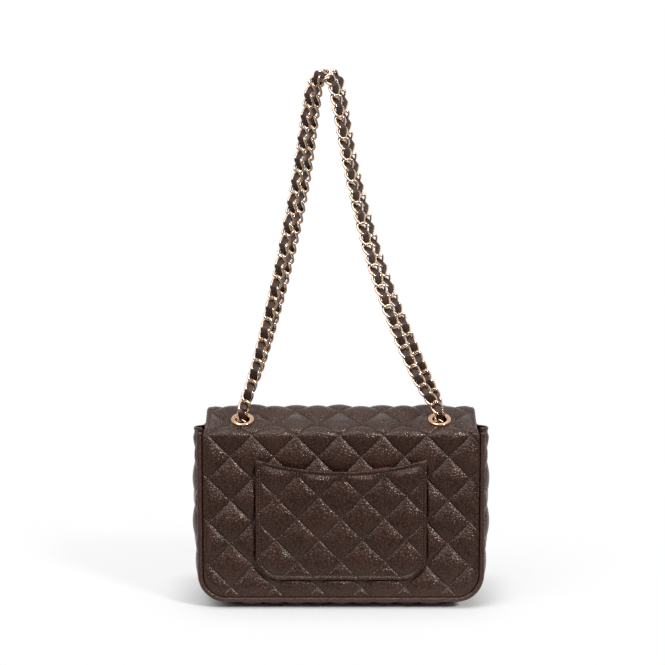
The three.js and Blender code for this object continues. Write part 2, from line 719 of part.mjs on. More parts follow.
function addPiece(group, name, geometry, look) {
  const mesh = new THREE.Mesh(solid(geometry), look.clone());
  mesh.name = name;
  group.add(mesh);
  return mesh;
}

const bag = new THREE.Group();
bag.add(makeBody(), makeFlap(), makeTurnLock());
bag.add(makeStrap('back', EYELET_BACK_Y, BACK_LOOP), makeStrap('front', EYELET_FRONT_Y, FRONT_LOOP));

export default bag;
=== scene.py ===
"""Quilted leather flap bag with a doubled chain strap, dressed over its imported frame.

Sizes are millimetres in the frame's axes: +Z up, -Y out of the back with the slip pocket, +Y out of the
flap's front.
"""

from __future__ import annotations

import logging
import math
from dataclasses import dataclass, field
from enum import Enum
from functools import cached_property
from typing import Callable, Sequence

import bmesh
import bpy
import numpy as np
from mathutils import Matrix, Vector

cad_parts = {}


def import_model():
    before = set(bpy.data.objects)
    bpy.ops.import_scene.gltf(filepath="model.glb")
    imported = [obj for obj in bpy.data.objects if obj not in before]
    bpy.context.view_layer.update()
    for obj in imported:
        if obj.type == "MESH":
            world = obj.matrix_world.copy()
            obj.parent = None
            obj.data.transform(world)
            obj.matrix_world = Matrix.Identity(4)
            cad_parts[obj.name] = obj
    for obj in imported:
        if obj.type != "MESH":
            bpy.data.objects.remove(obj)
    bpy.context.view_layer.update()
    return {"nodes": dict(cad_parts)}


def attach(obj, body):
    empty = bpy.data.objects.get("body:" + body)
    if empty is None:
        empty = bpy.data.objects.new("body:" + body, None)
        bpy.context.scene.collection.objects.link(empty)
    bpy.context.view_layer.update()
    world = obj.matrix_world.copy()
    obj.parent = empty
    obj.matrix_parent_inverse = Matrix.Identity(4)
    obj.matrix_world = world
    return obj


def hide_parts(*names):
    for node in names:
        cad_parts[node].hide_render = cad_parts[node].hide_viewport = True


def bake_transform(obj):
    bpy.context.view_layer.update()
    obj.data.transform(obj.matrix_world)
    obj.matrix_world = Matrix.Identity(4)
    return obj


LOG = logging.getLogger("flap_bag")
MM = 0.001
Array = np.ndarray
Piece = bpy.types.Object
Material = bpy.types.Material
Node = bpy.types.Node
Socket = bpy.types.NodeSocket
Colour = tuple[float, float, float]
Span = tuple[float, float]
Surface = Callable[[Array, Array], tuple[Array, Array]]
SIDES = (("left", -1), ("right", 1))
CLEAR = np.array([0.5, 0.5, 9.0])  # seam values of a place far from every stitched line
WHITE = (1.0, 1.0, 1.0, 1.0)
SCATTER = (12.9898, 78.233)  # factors that turn two whole numbers into a scattered angle


class Body(str, Enum):
    """Rigid bodies of the frame that the pieces ride on."""

    BAG = "bag_body"
    FLAP = "flap"
    LOCK = "turn_lock"
    BACK_STRAP = "back_strap"
    FRONT_STRAP = "front_strap"


class Slot(str, Enum):
    """Material slots of the record."""

    LEATHER = "leather"
    LACE = "lace_leather"
    LINING = "lining"
    METAL = "rose_gold"
    BOARD = "board"


def smoothstep(value: Array, low: float, high: float) -> Array:
    """Ease from 0 at low to 1 at high."""
    share = np.clip((np.asarray(value, float) - low) / (high - low), 0, 1)
    return share * share * (3 - 2 * share)


def unit(vectors: Array) -> Array:
    """Vectors scaled to length one along the last axis."""
    return vectors / np.maximum(np.linalg.norm(vectors, axis=-1, keepdims=True), 1e-9)


def pressed(height: Array | float, level: Array | float, share: Array | float) -> Array:
    """A height that is drawn towards a level, all the way where the share is 0."""
    return level + (height - level) * share


def upright(across: Array, y: Array | float, along: Array) -> Array:
    """Points of an upright sheet from x, y and z."""
    return np.stack([across, np.broadcast_to(y, np.shape(across)), along], -1)


def cell_middles(*grids: Array) -> list[Array]:
    """Values in the middles of a grid's cells, for each grid of values."""
    return [(grid[:-1, :-1] + grid[1:, 1:]) / 2 for grid in grids]


def lengths_along(line: Array) -> Array:
    """Length from a line's first point to each of its points."""
    return np.concatenate([[0], np.cumsum(np.linalg.norm(np.diff(line, axis=0), axis=1))])


def read_along(places: Array, known: Array, rows: Array) -> Array:
    """Rows of numbers read between the places where they are known."""
    return np.stack([np.interp(places, known, column) for column in rows.T], 1)


def spread(line: Array, count: int) -> Array:
    """Evenly spaced points along a line, both ends included."""
    length = lengths_along(line)
    return read_along(np.linspace(0, length[-1], count + 1), length, line)


def superellipse(angle: Array, first: float, second: float) -> tuple[Array, Array]:
    """Cosine and sine raised to powers, below 1 for fuller corners."""
    cosine, sine = np.cos(angle), np.sin(angle)
    return np.sign(cosine) * np.abs(cosine) ** first, np.sign(sine) * np.abs(sine) ** second


@dataclass(frozen=True)
class Unevenness:
    """Smooth, seeded unevenness over a plane, between -1 and 1."""

    seed: int
    size: float

    def at(self, across: Array, along: Array) -> Array:
        """Read the unevenness at places on the plane.

        Args:
            across: First coordinate in millimetres.
            along: Second coordinate in millimetres.

        Returns:
            One value for each place.
        """
        table = np.random.default_rng(self.seed).uniform(-1, 1, (64, 64))
        first, second = np.asarray(across) / self.size, np.asarray(along) / self.size
        i, j = np.floor(first).astype(int), np.floor(second).astype(int)
        u, v = smoothstep(first - i, 0, 1), smoothstep(second - j, 0, 1)
        low = table[i % 64, j % 64] * (1 - u) + table[(i + 1) % 64, j % 64] * u
        high = table[i % 64, (j + 1) % 64] * (1 - u) + table[(i + 1) % 64, (j + 1) % 64] * u
        return low * (1 - v) + high * v


class PieceMesh:
    """Points, faces, material numbers and painted shade tones of one piece, gathered part by part."""

    def __init__(self) -> None:
        """Start with nothing."""
        self.points: list[Array] = []
        self.tones: list[Array] = []
        self.seams: list[Array] = []
        self.faces: list[list[int]] = []
        self.slots: list[int] = []
        self.count = 0

    def add(self, points: Array, faces: Sequence[Array], slot: int = 0, tone: Array | float = 1.0,
            seam: Array = CLEAR) -> None:
        """Add points with faces that number them from zero.

        Args:
            points: Points in millimetres, one row each.
            faces: Blocks of faces, each block with the same number of corners.
            slot: Material number of the faces.
            tone: Painted shade of each point, from 0 in a deep fold to 1 on the open surface.
            seam: Numbers of the two quilting lines and distance from an edge row, for each point.
        """
        points = np.asarray(points, float).reshape(-1, 3)
        self.points.append(points)
        self.tones.append(np.broadcast_to(np.asarray(tone, float).reshape(-1), len(points)))
        self.seams.append(np.broadcast_to(seam, points.shape))
        for block in faces:
            rows = (np.asarray(block) + self.count).tolist()
            self.faces.extend(rows)
            self.slots.extend([slot] * len(rows))
        self.count += len(points)

    def add_grid(
        self, grid: Array, slot: int = 0, tone: Array | float = 1.0, ring: bool = False, caps: bool = False
    ) -> None:
        """Add a surface of rows and columns of points.

        Args:
            grid: Points as rows by columns by three.
            slot: Material number of the faces.
            tone: Painted shade of the points.
            ring: Whether each row closes on itself.
            caps: Whether the first and last row are closed with a face.
        """
        rows, cols = grid.shape[:2]
        blocks = [grid_quads(rows, cols, ring)]
        if caps:
            blocks += [np.arange(cols)[None, ::-1], (rows - 1) * cols + np.arange(cols)[None, :]]
        self.add(grid, blocks, slot, tone)

    def add_loop(self, grid: Array, slot: int = 0, tone: Array | float = 1.0) -> None:
        """Add a tube whose last ring of points closes onto its first."""
        rows, cols = grid.shape[:2]
        quads = grid_quads(rows + 1, cols, True)
        self.add(grid, [np.where(quads >= rows * cols, quads - rows * cols, quads)], slot, tone)

    def add_slab(self, outer: Array, inner: Array, keep: Array | None = None, tone: Array | float = 1.0,
                 seam: Array = CLEAR) -> None:
        """Add a thick sheet from its two faces, closed round its rim.

        Args:
            outer: Outer points as rows by columns by three.
            inner: Inner points in the same order.
            keep: Which cells stay, as rows - 1 by columns - 1, where the sheet has holes.
            tone: Painted shade of the outer points; the inner points take a painted half shade of 0.5.
            seam: Quilting lines and edge row of the outer points.
        """
        rows, cols = outer.shape[:2]
        quads = grid_quads(rows, cols)
        if keep is not None:
            quads = quads[keep.reshape(-1)]
        far = rows * cols
        ahead = np.concatenate([quads[:, [k, (k + 1) % 4]] for k in range(4)])
        rim = ahead[~np.isin(ahead[:, 0] * far + ahead[:, 1], ahead[:, 1] * far + ahead[:, 0])]
        band = np.concatenate([rim[:, ::-1], rim + far], 1)
        shade = np.broadcast_to(np.asarray(tone, float), outer.shape[:2]).reshape(-1)
        lines = np.broadcast_to(seam, outer.shape).reshape(-1, 3)
        points = np.concatenate([outer.reshape(-1, 3), inner.reshape(-1, 3)])
        # Painted shade: the outer points carry their tone, and the inner points a half shade of 0.5.
        self.add(points, [quads, quads[:, ::-1] + far, band], 0, np.concatenate([shade, np.full(far, 0.5)]),
                 np.concatenate([lines, np.broadcast_to(CLEAR, lines.shape)]))

    def build(self, name: str, finishes: Sequence[Material]) -> Piece:
        """Make the Blender object.

        Args:
            name: Name of the piece.
            finishes: Materials in the order of their numbers.

        Returns:
            The object, in metres.
        """
        mesh = bpy.data.meshes.new(name)
        mesh.from_pydata((np.concatenate(self.points) * MM).tolist(), [], self.faces)
        for finish in finishes:
            mesh.materials.append(finish)
        mesh.polygons.foreach_set("material_index", np.array(self.slots, np.int32))
        tone = mesh.attributes.new("tone", "FLOAT", "POINT")
        tone.data.foreach_set("value", np.concatenate(self.tones).astype(np.float32))
        seam = mesh.attributes.new("seam", "FLOAT_VECTOR", "POINT")
        seam.data.foreach_set("vector", np.concatenate(self.seams).astype(np.float32).reshape(-1))
        work = bmesh.new()
        work.from_mesh(mesh)
        bmesh.ops.recalc_face_normals(work, faces=work.faces)
        work.to_mesh(mesh)
        work.free()
        mesh.shade_smooth()
        piece = bpy.data.objects.new(name, mesh)
        bpy.context.scene.collection.objects.link(piece)
        return piece


def grid_quads(rows: int, cols: int, ring: bool = False) -> Array:
    """Corners of the cells of a grid.

    Args:
        rows: Number of rows of points.
        cols: Number of points in a row.
        ring: Whether each row closes on itself.

    Returns:
        One row of four numbers for each cell.
    """
    i, j = np.meshgrid(np.arange(rows - 1), np.arange(cols if ring else cols - 1), indexing="ij")
    after = (j + 1) % cols
    corners = [i * cols + j, i * cols + after, (i + 1) * cols + after, (i + 1) * cols + j]
    return np.stack(corners, -1).reshape(-1, 4)


def tube(path: Array, side: Array, width: Array | float, depth: Array | float, sides: int = 10,
         squareness: float = 1.0) -> Array:
    """Rings of a cord or strip along a path.

    Args:
        path: Points along the middle.
        side: Direction of the section's width at each point.
        width: Half width of the section.
        depth: Half thickness of the section.
        sides: Points in a ring.
        squareness: Below 1, the section fills its corners.

    Returns:
        Rings of points, as points by sides by three.
    """
    ahead = unit(np.gradient(path, axis=0))
    side = unit(side - ahead * np.sum(side * ahead, -1, keepdims=True))
    up = np.cross(ahead, side)
    angle = 2 * np.pi * (np.arange(sides) + 0.5) / sides
    first, second = superellipse(angle, squareness, squareness)
    wide, deep = (np.broadcast_to(size, len(path))[:, None, None] for size in (width, depth))
    return path[:, None] + side[:, None] * first[:, None] * wide + up[:, None] * second[:, None] * deep


def put(piece: Piece, body: Body, slot: Slot, *nodes: str) -> Piece:
    """Let a piece ride on a body and stand for frame nodes."""
    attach(piece, body.value)
    return label(piece, slot, *nodes)


def label(piece: Piece, slot: Slot, *nodes: str) -> Piece:
    """Hide the frame nodes that a piece stands for, and log them.

    Args:
        piece: The new piece.
        slot: Not used.
        nodes: Frame nodes that it stands for.

    Returns:
        The same piece.
    """
    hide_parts(*nodes)
    LOG.info("%s: %d faces for %s", piece.name, len(piece.data.polygons), ", ".join(nodes))
    return piece


class Nodes:
    """A node tree with short ways to add and join nodes."""

    def __init__(self, owner: Material | bpy.types.World) -> None:
        """Start the tree of a material or of the world."""
        self.owner = owner
        owner.use_nodes = True
        self.tree = owner.node_tree

    @classmethod
    def of_material(cls, name: str) -> "Nodes":
        """Start the tree of a new material."""
        return cls(bpy.data.materials.new(name))

    @cached_property
    def place(self) -> Socket:
        """Place on the object in metres."""
        return self.add("TexCoord").outputs["Object"]

    @cached_property
    def tone(self) -> Socket:
        """Painted shade of the mesh, from 0 in a deep fold to 1 on the open surface."""
        return self.add("Attribute", {"attribute_name": "tone"}).outputs["Fac"]

    def add(self, kind: str, settings: dict[str, object] | None = None, **inputs: object) -> Node:
        """Add a node.

        Args:
            kind: Node type without its common prefix.
            settings: Properties of the node.
            inputs: Values or sockets for its inputs, with underscores for spaces.

        Returns:
            The node.
        """
        made = self.tree.nodes.new("ShaderNode" + kind)
        for key, value in (settings or {}).items():
            setattr(made, key, value)
        for key, value in inputs.items():
            self.set(made.inputs[key.replace("_", " ")], value)
        return made

    def set(self, socket: Socket, value: object) -> None:
        """Give a socket a value, or link another socket to it."""
        if isinstance(value, Socket):
            self.tree.links.new(value, socket)
        else:
            socket.default_value = value

    def in_order(self, kind: str, settings: dict[str, object], *values: object) -> Node:
        """Add a node whose first inputs are set in their order.

        Args:
            kind: Node type without its common prefix.
            settings: Properties of the node.
            values: Values or sockets for the first inputs.

        Returns:
            The node.
        """
        made = self.add(kind, settings)
        for socket, value in zip(made.inputs, values):
            self.set(socket, value)
        return made

    def math(self, operation: str, *values: object) -> Socket:
        """A math node's result from values or sockets."""
        return self.in_order("Math", {"operation": operation}, *values).outputs[0]

    def weighted(self, *parts: tuple[Socket, float]) -> Socket:
        """The sum of values, each times its weight."""
        total: object = 0.0
        for value, weight in parts:
            total = self.math("MULTIPLY_ADD", value, weight, total)
        return total

    def ramp(self, value: Socket, low: float, high: float, start: float = 0.0,
             end: float = 1.0) -> Socket:
        """A value eased from one range onto another."""
        ease = {"interpolation_type": "SMOOTHSTEP"}
        return self.in_order("MapRange", ease, value, low, high, start, end).outputs[0]

    def mix(self, share: object, first: Colour | Socket,
            second: Colour | Socket) -> Socket:
        """Two colours mixed by a share."""
        made = self.add("Mix", {"data_type": "RGBA"})
        for number, value in zip((0, 6, 7), (share, first, second)):
            self.set(made.inputs[number], (*value, 1.0) if isinstance(value, tuple) else value)
        return made.outputs[2]

    def noise(self, scale: float, detail: float, roughness: float = 0.5) -> Socket:
        """Noise over the object, by its scale for each metre."""
        made = self.add("TexNoise", Vector=self.place, Scale=scale, Detail=detail, Roughness=roughness)
        return made.outputs["Fac"]

    def bump(self, strength: float, distance: float, height: Socket) -> Socket:
        """A normal bent by a height in millimetres."""
        return self.add("Bump", Strength=strength, Distance=distance * MM, Height=height).outputs[0]

    def blend(self, share: object, first: Node, second: Node) -> Node:
        """Two shaders mixed by a share."""
        return self.in_order("MixShader", {}, share, first.outputs[0], second.outputs[0])

    def finish(self, **inputs: object) -> Material:
        """Set the shader's inputs and hand over the material."""
        shader = self.tree.nodes["Principled BSDF"]
        for key, value in inputs.items():
            self.set(shader.inputs[key.replace("_", " ")], value)
        return self.owner


@dataclass(frozen=True)
class PebbledLeather:
    """Leather with a pressed pebble grain, with painted shade in the gaps between pebbles, along the stitched
    lines and in deep folds.
    """

    name: str
    colour: Colour
    # crease and fold are painted shade colours: crease for the gaps between pebbles, fold for deep folds and
    # the stitched lines.
    crease: Colour
    fold: Colour
    pebble: float = 2.7
    rise: float = 0.29
    drift: float = 1.2
    drift_scale: float = 520.0
    fine_scale: float = 3300.0
    wave_scale: float = 190.0
    broad_scale: float = 26.0
    gloss: Span = (0.22, 0.33)
    specular: float = 0.46
    sheen: Colour = (1.0, 0.84, 0.76)
    line_gap: float = 26.9
    crease_width: float = 1.25
    faded: float = 1.28

    def material(self) -> Material:
        """Make the node material."""
        tree = Nodes.of_material(self.name)
        drift = tree.add("TexNoise", Vector=tree.place, Scale=self.drift_scale, Detail=2.0).outputs["Color"]
        by_drift = {"operation": "MULTIPLY_ADD"}
        pushed = tree.in_order("VectorMath", by_drift, drift, (self.drift * MM,) * 3, tree.place).outputs[0]
        to_edge = {"feature": "DISTANCE_TO_EDGE"}
        cells = tree.add("TexVoronoi", to_edge, Vector=pushed, Scale=1 / (self.pebble * MM))
        dome = tree.ramp(cells.outputs["Distance"], 0.0, 0.3)
        fine = tree.noise(self.fine_scale, 3.0, 0.6)
        wave = tree.noise(self.wave_scale, 3.0, 0.55)
        broad = tree.noise(self.broad_scale, 2.0)
        crease = tree.ramp(self.line_distance(tree), 0.1, self.crease_width)
        height = tree.weighted((dome, 0.75), (fine, 0.08), (wave, 0.6), (crease, 1.2))
        # Painted shade: the gaps between pebbles take the crease colour.
        grain = tree.mix(tree.ramp(dome, 0.0, 0.75), self.crease, self.colour)
        # Painted shade: where the tone is low and along the stitched lines, the colour goes to the fold
        # colour.
        open_face = tree.math("MULTIPLY", tree.ramp(tree.tone, 0.0, 0.85), tree.math("MAXIMUM", crease, 0.15))
        shade = tree.mix(open_face, self.fold, grain)
        lighter = tuple(self.faded * part for part in self.colour)
        shade = tree.mix(tree.ramp(broad, 0.45, 0.8, 0.0, 0.35), shade, lighter)
        return tree.finish(Base_Color=shade, Roughness=tree.ramp(wave, 0.3, 0.7, *self.gloss),
                           Normal=tree.bump(0.85, self.rise, height), Specular_IOR_Level=self.specular,
                           Specular_Tint=(*self.sheen, 1.0))

    def line_distance(self, tree: Nodes) -> Socket:
        """Distance from the nearest stitched line in millimetres.

        Args:
            tree: The material's node tree.

        Returns:
            The socket with the distance.
        """
        seam = tree.add("Attribute", {"attribute_name": "seam"}).outputs["Vector"]
        split = tree.add("SeparateXYZ", Vector=seam).outputs
        near = tree.math("ABSOLUTE", split["Z"])
        for axis in ("X", "Y"):
            part = tree.math("PINGPONG", split[axis], 0.5)
            near = tree.math("MINIMUM", near, tree.math("MULTIPLY", part, self.line_gap))
        return near


@dataclass(frozen=True)
class SmoothLeather:
    """Thin smooth leather with fine pores, soft colour drift, and painted shade where the mesh's tone is low.
    """

    name: str
    colour: Colour
    shade: Colour
    roughness: Span = (0.42, 0.6)
    pore_scale: float = 900.0
    drift_scale: float = 70.0
    fine_scale: float = 1900.0

    def material(self) -> Material:
        """Make the node material."""
        tree = Nodes.of_material(self.name)
        pores = tree.add("TexVoronoi", {"feature": "F1"}, Vector=tree.place, Scale=self.pore_scale)
        fine = tree.noise(self.fine_scale, 2.0)
        height = tree.weighted((pores.outputs["Distance"], 1.0), (fine, 0.5))
        colour = tree.mix(tree.ramp(tree.noise(self.drift_scale, 4.0), 0.3, 0.75), self.shade, self.colour)
        # Painted shade: where the tone is low, the colour goes to the shade colour.
        colour = tree.mix(tree.ramp(tree.tone, 0.0, 0.8), self.shade, colour)
        return tree.finish(Base_Color=colour, Roughness=tree.ramp(fine, 0.3, 0.7, *self.roughness),
                           Normal=tree.bump(0.5, 0.12, height), Specular_IOR_Level=0.4)


@dataclass(frozen=True)
class PlatedMetal:
    """Polished pale rose gold plating with faint handling marks, and painted shade where the mesh's tone is
    low.
    """

    name: str
    colour: Colour
    tint: Colour
    painted_shade: Colour = (0.12, 0.05, 0.022)
    roughness: Span = (0.08, 0.2)
    mark_scale: float = 340.0
    drift_scale: float = 45.0

    def material(self) -> Material:
        """Make the node material."""
        tree = Nodes.of_material(self.name)
        marks = tree.noise(self.mark_scale, 5.0, 0.65)
        colour = tree.mix(tree.ramp(tree.noise(self.drift_scale, 2.0), 0.35, 0.7), self.colour, self.tint)
        # Painted shade: where the tone is low, on the chain wires' inner and outer rims, the colour goes
        # dark.
        colour = tree.mix(tree.ramp(tree.tone, 0.0, 0.72), self.painted_shade, colour)
        return tree.finish(Base_Color=colour, Roughness=tree.ramp(marks, 0.35, 0.7, *self.roughness),
                           Normal=tree.bump(0.12, 0.1, marks), Metallic=1.0)


@dataclass(frozen=True)
class SewingThread:
    """Twisted sewing thread."""

    name: str
    colour: Colour
    shade: Colour
    twist_scale: float = 1500.0

    def material(self) -> Material:
        """Make the node material."""
        tree = Nodes.of_material(self.name)
        twist = tree.add("TexWave", Vector=tree.place, Scale=self.twist_scale, Distortion=2.0).outputs["Fac"]
        return tree.finish(Base_Color=tree.mix(twist, self.shade, self.colour),
                           Normal=tree.bump(0.4, 0.08, twist), Roughness=0.55)


@dataclass(frozen=True)
class FibreBoard:
    """Raw pressed stiffening board, hidden inside."""

    name: str
    colour: Colour
    fleck: Colour
    fibre_scale: float = 600.0

    def material(self) -> Material:
        """Make the node material."""
        tree = Nodes.of_material(self.name)
        fibre = tree.noise(self.fibre_scale, 6.0, 0.7)
        return tree.finish(Base_Color=tree.mix(tree.ramp(fibre, 0.35, 0.7), self.fleck, self.colour),
                           Normal=tree.bump(0.3, 0.1, fibre), Roughness=0.9)


@dataclass(frozen=True)
class Finishes:
    """All finishes of the bag as made materials."""

    leather: Material
    piping: Material
    lace: Material
    lining: Material
    metal: Material
    chain: Material
    thread: Material
    red_thread: Material
    board: Material

    @classmethod
    def make(cls) -> "Finishes":
        """Make every material once."""
        return cls(
            # The second and third colours of each pebbled leather are painted shade: between pebbles, and in
            # folds and along stitched lines.
            leather=PebbledLeather("pebbled_brown_leather", (0.053, 0.0238, 0.017), (0.021, 0.0086, 0.0058),
                                   (0.022, 0.0085, 0.0068)).material(),
            piping=PebbledLeather("piping_leather", (0.066, 0.0345, 0.0285), (0.036, 0.017, 0.0138),
                                  (0.018, 0.0064, 0.0052), pebble=1.3, rise=0.16).material(),
            # The second colour of each smooth leather serves both its random colour drift and painted shade
            # where the tone is low.
            lace=SmoothLeather("lace_leather", (0.068, 0.0315, 0.0212), (0.031, 0.0138, 0.0092)).material(),
            lining=SmoothLeather("burgundy_lining", (0.15, 0.012, 0.022), (0.08, 0.006, 0.011)).material(),
            metal=PlatedMetal("rose_gold_plate", (0.87, 0.58, 0.4), (0.78, 0.46, 0.29),
                              roughness=(0.05, 0.14)).material(),
            chain=PlatedMetal("pale_gold_plate", (0.9, 0.72, 0.55), (0.84, 0.6, 0.43)).material(),
            thread=SewingThread("brown_thread", (0.15, 0.096, 0.08), (0.066, 0.039, 0.032)).material(),
            red_thread=SewingThread("burgundy_thread", (0.17, 0.045, 0.052), (0.07, 0.016, 0.02)).material(),
            board=FibreBoard("stiffening_board", (0.32, 0.23, 0.14), (0.18, 0.12, 0.07)).material(),
        )


@dataclass(frozen=True)
class Stitch:
    """One visible stitch of a row."""

    length: float = 1.8
    radius: float = 0.3
    rise: float = 0.28
    sunk: float = 0.06
    pitch: float = 2.55
    sides: int = 5
    taper: tuple[Span, ...] = ((-1.0, 0.35), (-0.75, 0.85), (0.0, 1.0), (0.75, 0.85), (1.0, 0.35))

    def sew(self, mesh: PieceMesh, places: Array, surface: Surface, slot: int) -> None:
        """Lay stitches on a surface.

        Args:
            mesh: Mesh that takes the stitches.
            places: Rows of across, along and the two parts of the row's direction.
            surface: Gives points and normals for across and along.
            slot: Material number of the thread.
        """
        if not len(places):
            return
        rings = []
        for share, _ in self.taper:
            reach = share * self.length / 2
            point, normal = surface(places[:, 0] + reach * places[:, 2], places[:, 1] + reach * places[:, 3])
            rings.append(point + normal * (self.rise * (1 - share**2) - self.sunk))
        middle = np.stack(rings, 1)
        ahead = unit(middle[:, -1] - middle[:, 0])
        aside = unit(np.cross(normal, ahead))
        up = np.cross(ahead, aside)
        angle = 2 * np.pi * np.arange(self.sides) / self.sides
        round_about = aside[:, None] * np.cos(angle)[:, None] + up[:, None] * np.sin(angle)[:, None]
        size = self.radius * np.array(self.taper)[:, 1]
        grid = middle[:, :, None] + round_about[:, None] * size[:, None, None]
        count = len(size) * self.sides
        start = np.arange(len(places))[:, None, None] * count
        quads = (grid_quads(len(size), self.sides, True)[None] + start).reshape(-1, 4)
        ends = np.stack([np.arange(self.sides)[::-1], count - self.sides + np.arange(self.sides)])
        mesh.add(grid.reshape(-1, 3), [quads, (ends[None] + start).reshape(-1, self.sides)], slot)


def row_of_stitches(path: Array, pitch: float) -> Array:
    """Evenly spaced stitch places along a flat path.

    Args:
        path: Points of across and along.
        pitch: Distance from stitch to stitch.

    Returns:
        Rows of across, along and direction.
    """
    length = lengths_along(path)
    where = np.arange(pitch / 2, length[-1], pitch)
    behind, at, ahead = (read_along(where + step, length, path) for step in (-0.2, 0.0, 0.2))
    return np.concatenate([at, unit(ahead - behind)], 1)


@dataclass(frozen=True)
class Quilt:
    """Diamond quilting: puffs between two sets of slanting stitched lines."""

    node: Span = (-95.7, 135.3)
    pitch: Span = (37.7, 38.4)
    puff: float = 3.8
    vary: float = 0.1
    steep: float = 0.55
    fullness: float = 0.5
    sunk: float = 1.9
    furthest_line: int = 30

    def lines(self, across: Array, along: Array) -> tuple[Array, Array]:
        """Numbers of the two slanting lines through each place; whole numbers lie on a stitched line."""
        first = (across - self.node[0]) / self.pitch[0]
        second = (along - self.node[1]) / self.pitch[1]
        return first + second, first - second

    def cushion(self, across: Array, along: Array) -> Array:
        """Share of the full puff, from 0 on a stitched line to about 1 in the middle.

        Args:
            across: Place from side to side.
            along: Place along the leather.

        Returns:
            One share for each place.
        """
        first, second = self.lines(across, along)
        p, q = 2 * (first - np.floor(first)) - 1, 2 * (second - np.floor(second)) - 1
        each = 1 + self.vary * np.sin(SCATTER[0] * np.floor(first) + SCATTER[1] * np.floor(second))
        dome = np.maximum((1 - p * p) * (1 - q * q), 0)
        return each * (self.steep * dome**self.fullness + (1 - self.steep) * dome)

    def tone(self, across: Array, along: Array) -> Array:
        """Painted shade of the leather, darkest along the stitched lines."""
        return 0.45 + 0.55 * smoothstep(self.cushion(across, along), 0.0, 0.3)

    def seam(self, across: Array, along: Array, row: Array | float = CLEAR[2]) -> Array:
        """Numbers of the two stitched lines and distance from an edge row, for a mesh."""
        return np.stack([*self.lines(across, along), np.broadcast_to(row, np.shape(across))], -1)

    def height(self, across: Array, along: Array) -> Array:
        """Height over the sheet's nominal face."""
        return self.puff * self.cushion(across, along) - self.sunk

    def stitches(self, low: Span, high: Span, pitch: float) -> Array:
        """Stitch places on all lines inside a rectangle.

        Args:
            low: Lowest across and along.
            high: Highest across and along.
            pitch: Distance from stitch to stitch.

        Returns:
            Rows of across, along and direction.
        """
        found = []
        ends = [(place[0] - self.node[0]) / self.pitch[0] for place in (low, high)]
        first = np.arange(*ends, pitch / math.hypot(*self.pitch))
        across = self.node[0] + self.pitch[0] * first
        for slant in (1, -1):
            ahead = unit(np.array([self.pitch[0], -slant * self.pitch[1]]))
            for number in range(-self.furthest_line, self.furthest_line + 1):
                along = self.node[1] + self.pitch[1] * slant * (number - first)
                inside = (along > low[1]) & (along < high[1])
                rows = np.stack([across, along, *(np.full_like(across, part) for part in ahead)], 1)
                found.append(rows[inside])
        return np.concatenate(found)


def corner_columns(half: float, radius: float, cell: float) -> Array:
    """Column places from side to side, close together where a corner rounds off.

    Args:
        half: Half of the width.
        radius: Corner radius.
        cell: Column spacing away from the corners.

    Returns:
        Places from -half to half.
    """
    flat = half - radius
    middle = np.linspace(-flat, flat, int(round(2 * flat / cell)) + 1)
    turn = np.linspace(0, np.pi / 2, int(round(radius / cell)) + 6)[1:]
    corner = flat + radius * np.sin(turn)
    return np.concatenate([-corner[::-1], middle, corner])


def corner_rise(across: Array, half: float, radius: float) -> Array:
    """How far a rounded corner lifts the edge at each place across."""
    past = np.clip(np.abs(across) - (half - radius), 0, radius)
    return radius - np.sqrt(np.maximum(radius**2 - past**2, 0))


def round_ends(along: Array, ends: Span, low: Array, high: Array, zone: float = 34.0) -> Array:
    """Move rows near the two ends so that they follow rounded corners.

    Args:
        along: Places along.
        ends: Places of the low end and the high end.
        low: How far the low end's corners lift its edge.
        high: How far the high end's corners lower its edge.
        zone: How far from an end the rows are moved.

    Returns:
        The moved places along.
    """
    low_part = np.clip(1 - (along - ends[0]) / zone, 0, 1)
    high_part = np.clip(1 - (ends[1] - along) / zone, 0, 1)
    return along + low * low_part - high * high_part


def rounded_row(half: float, radius: float, start: float, end: float, points: int) -> Array:
    """A path along one side, round two corners and back along the other side.

    Args:
        half: Half of the path's width.
        radius: Corner radius.
        start: Place along where both sides begin.
        end: Place along of the straight part between the corners.
        points: Number of points in a corner.

    Returns:
        Points of across and along.
    """
    way = np.sign(end - start)
    turn = np.linspace(0, np.pi / 2, points)
    corner = way * np.stack([half - radius + radius * np.cos(turn), radius * np.sin(turn) - radius], 1)
    path = np.concatenate([[[way * half, start]], corner + [0, end]])
    return np.concatenate([path, path[::-1] * [-1, 1]])


def edge_inset(across: Array, low: Array, high: Array, half: Array, low_radius: float,
               high_radius: float) -> Array:
    """Distance inside the rim of a rectangle with rounded ends.

    Args:
        across: Place across, from the middle.
        low: Distance from the low end.
        high: Distance from the high end.
        half: Half of the width.
        low_radius: Corner radius at the low end.
        high_radius: Corner radius at the high end.

    Returns:
        Distance to the nearest edge, negative outside.
    """
    found = np.full(np.broadcast(across, low).shape, 1e9)
    side = half - np.abs(across)
    for end, radius in ((low, low_radius), (high, high_radius)):
        u, v = np.maximum(radius - side, 0), np.maximum(radius - end, 0)
        corner = radius - np.hypot(u, v)
        found = np.minimum(found, np.where((u > 0) & (v > 0), corner, np.minimum(side, end)))
    return found


def edge_roll(inset: Array, radius: float) -> Array:
    """Drop of a rounded edge."""
    past = np.clip(radius - inset, 0, radius)
    return radius - np.sqrt(np.maximum(radius**2 - past**2, 0))


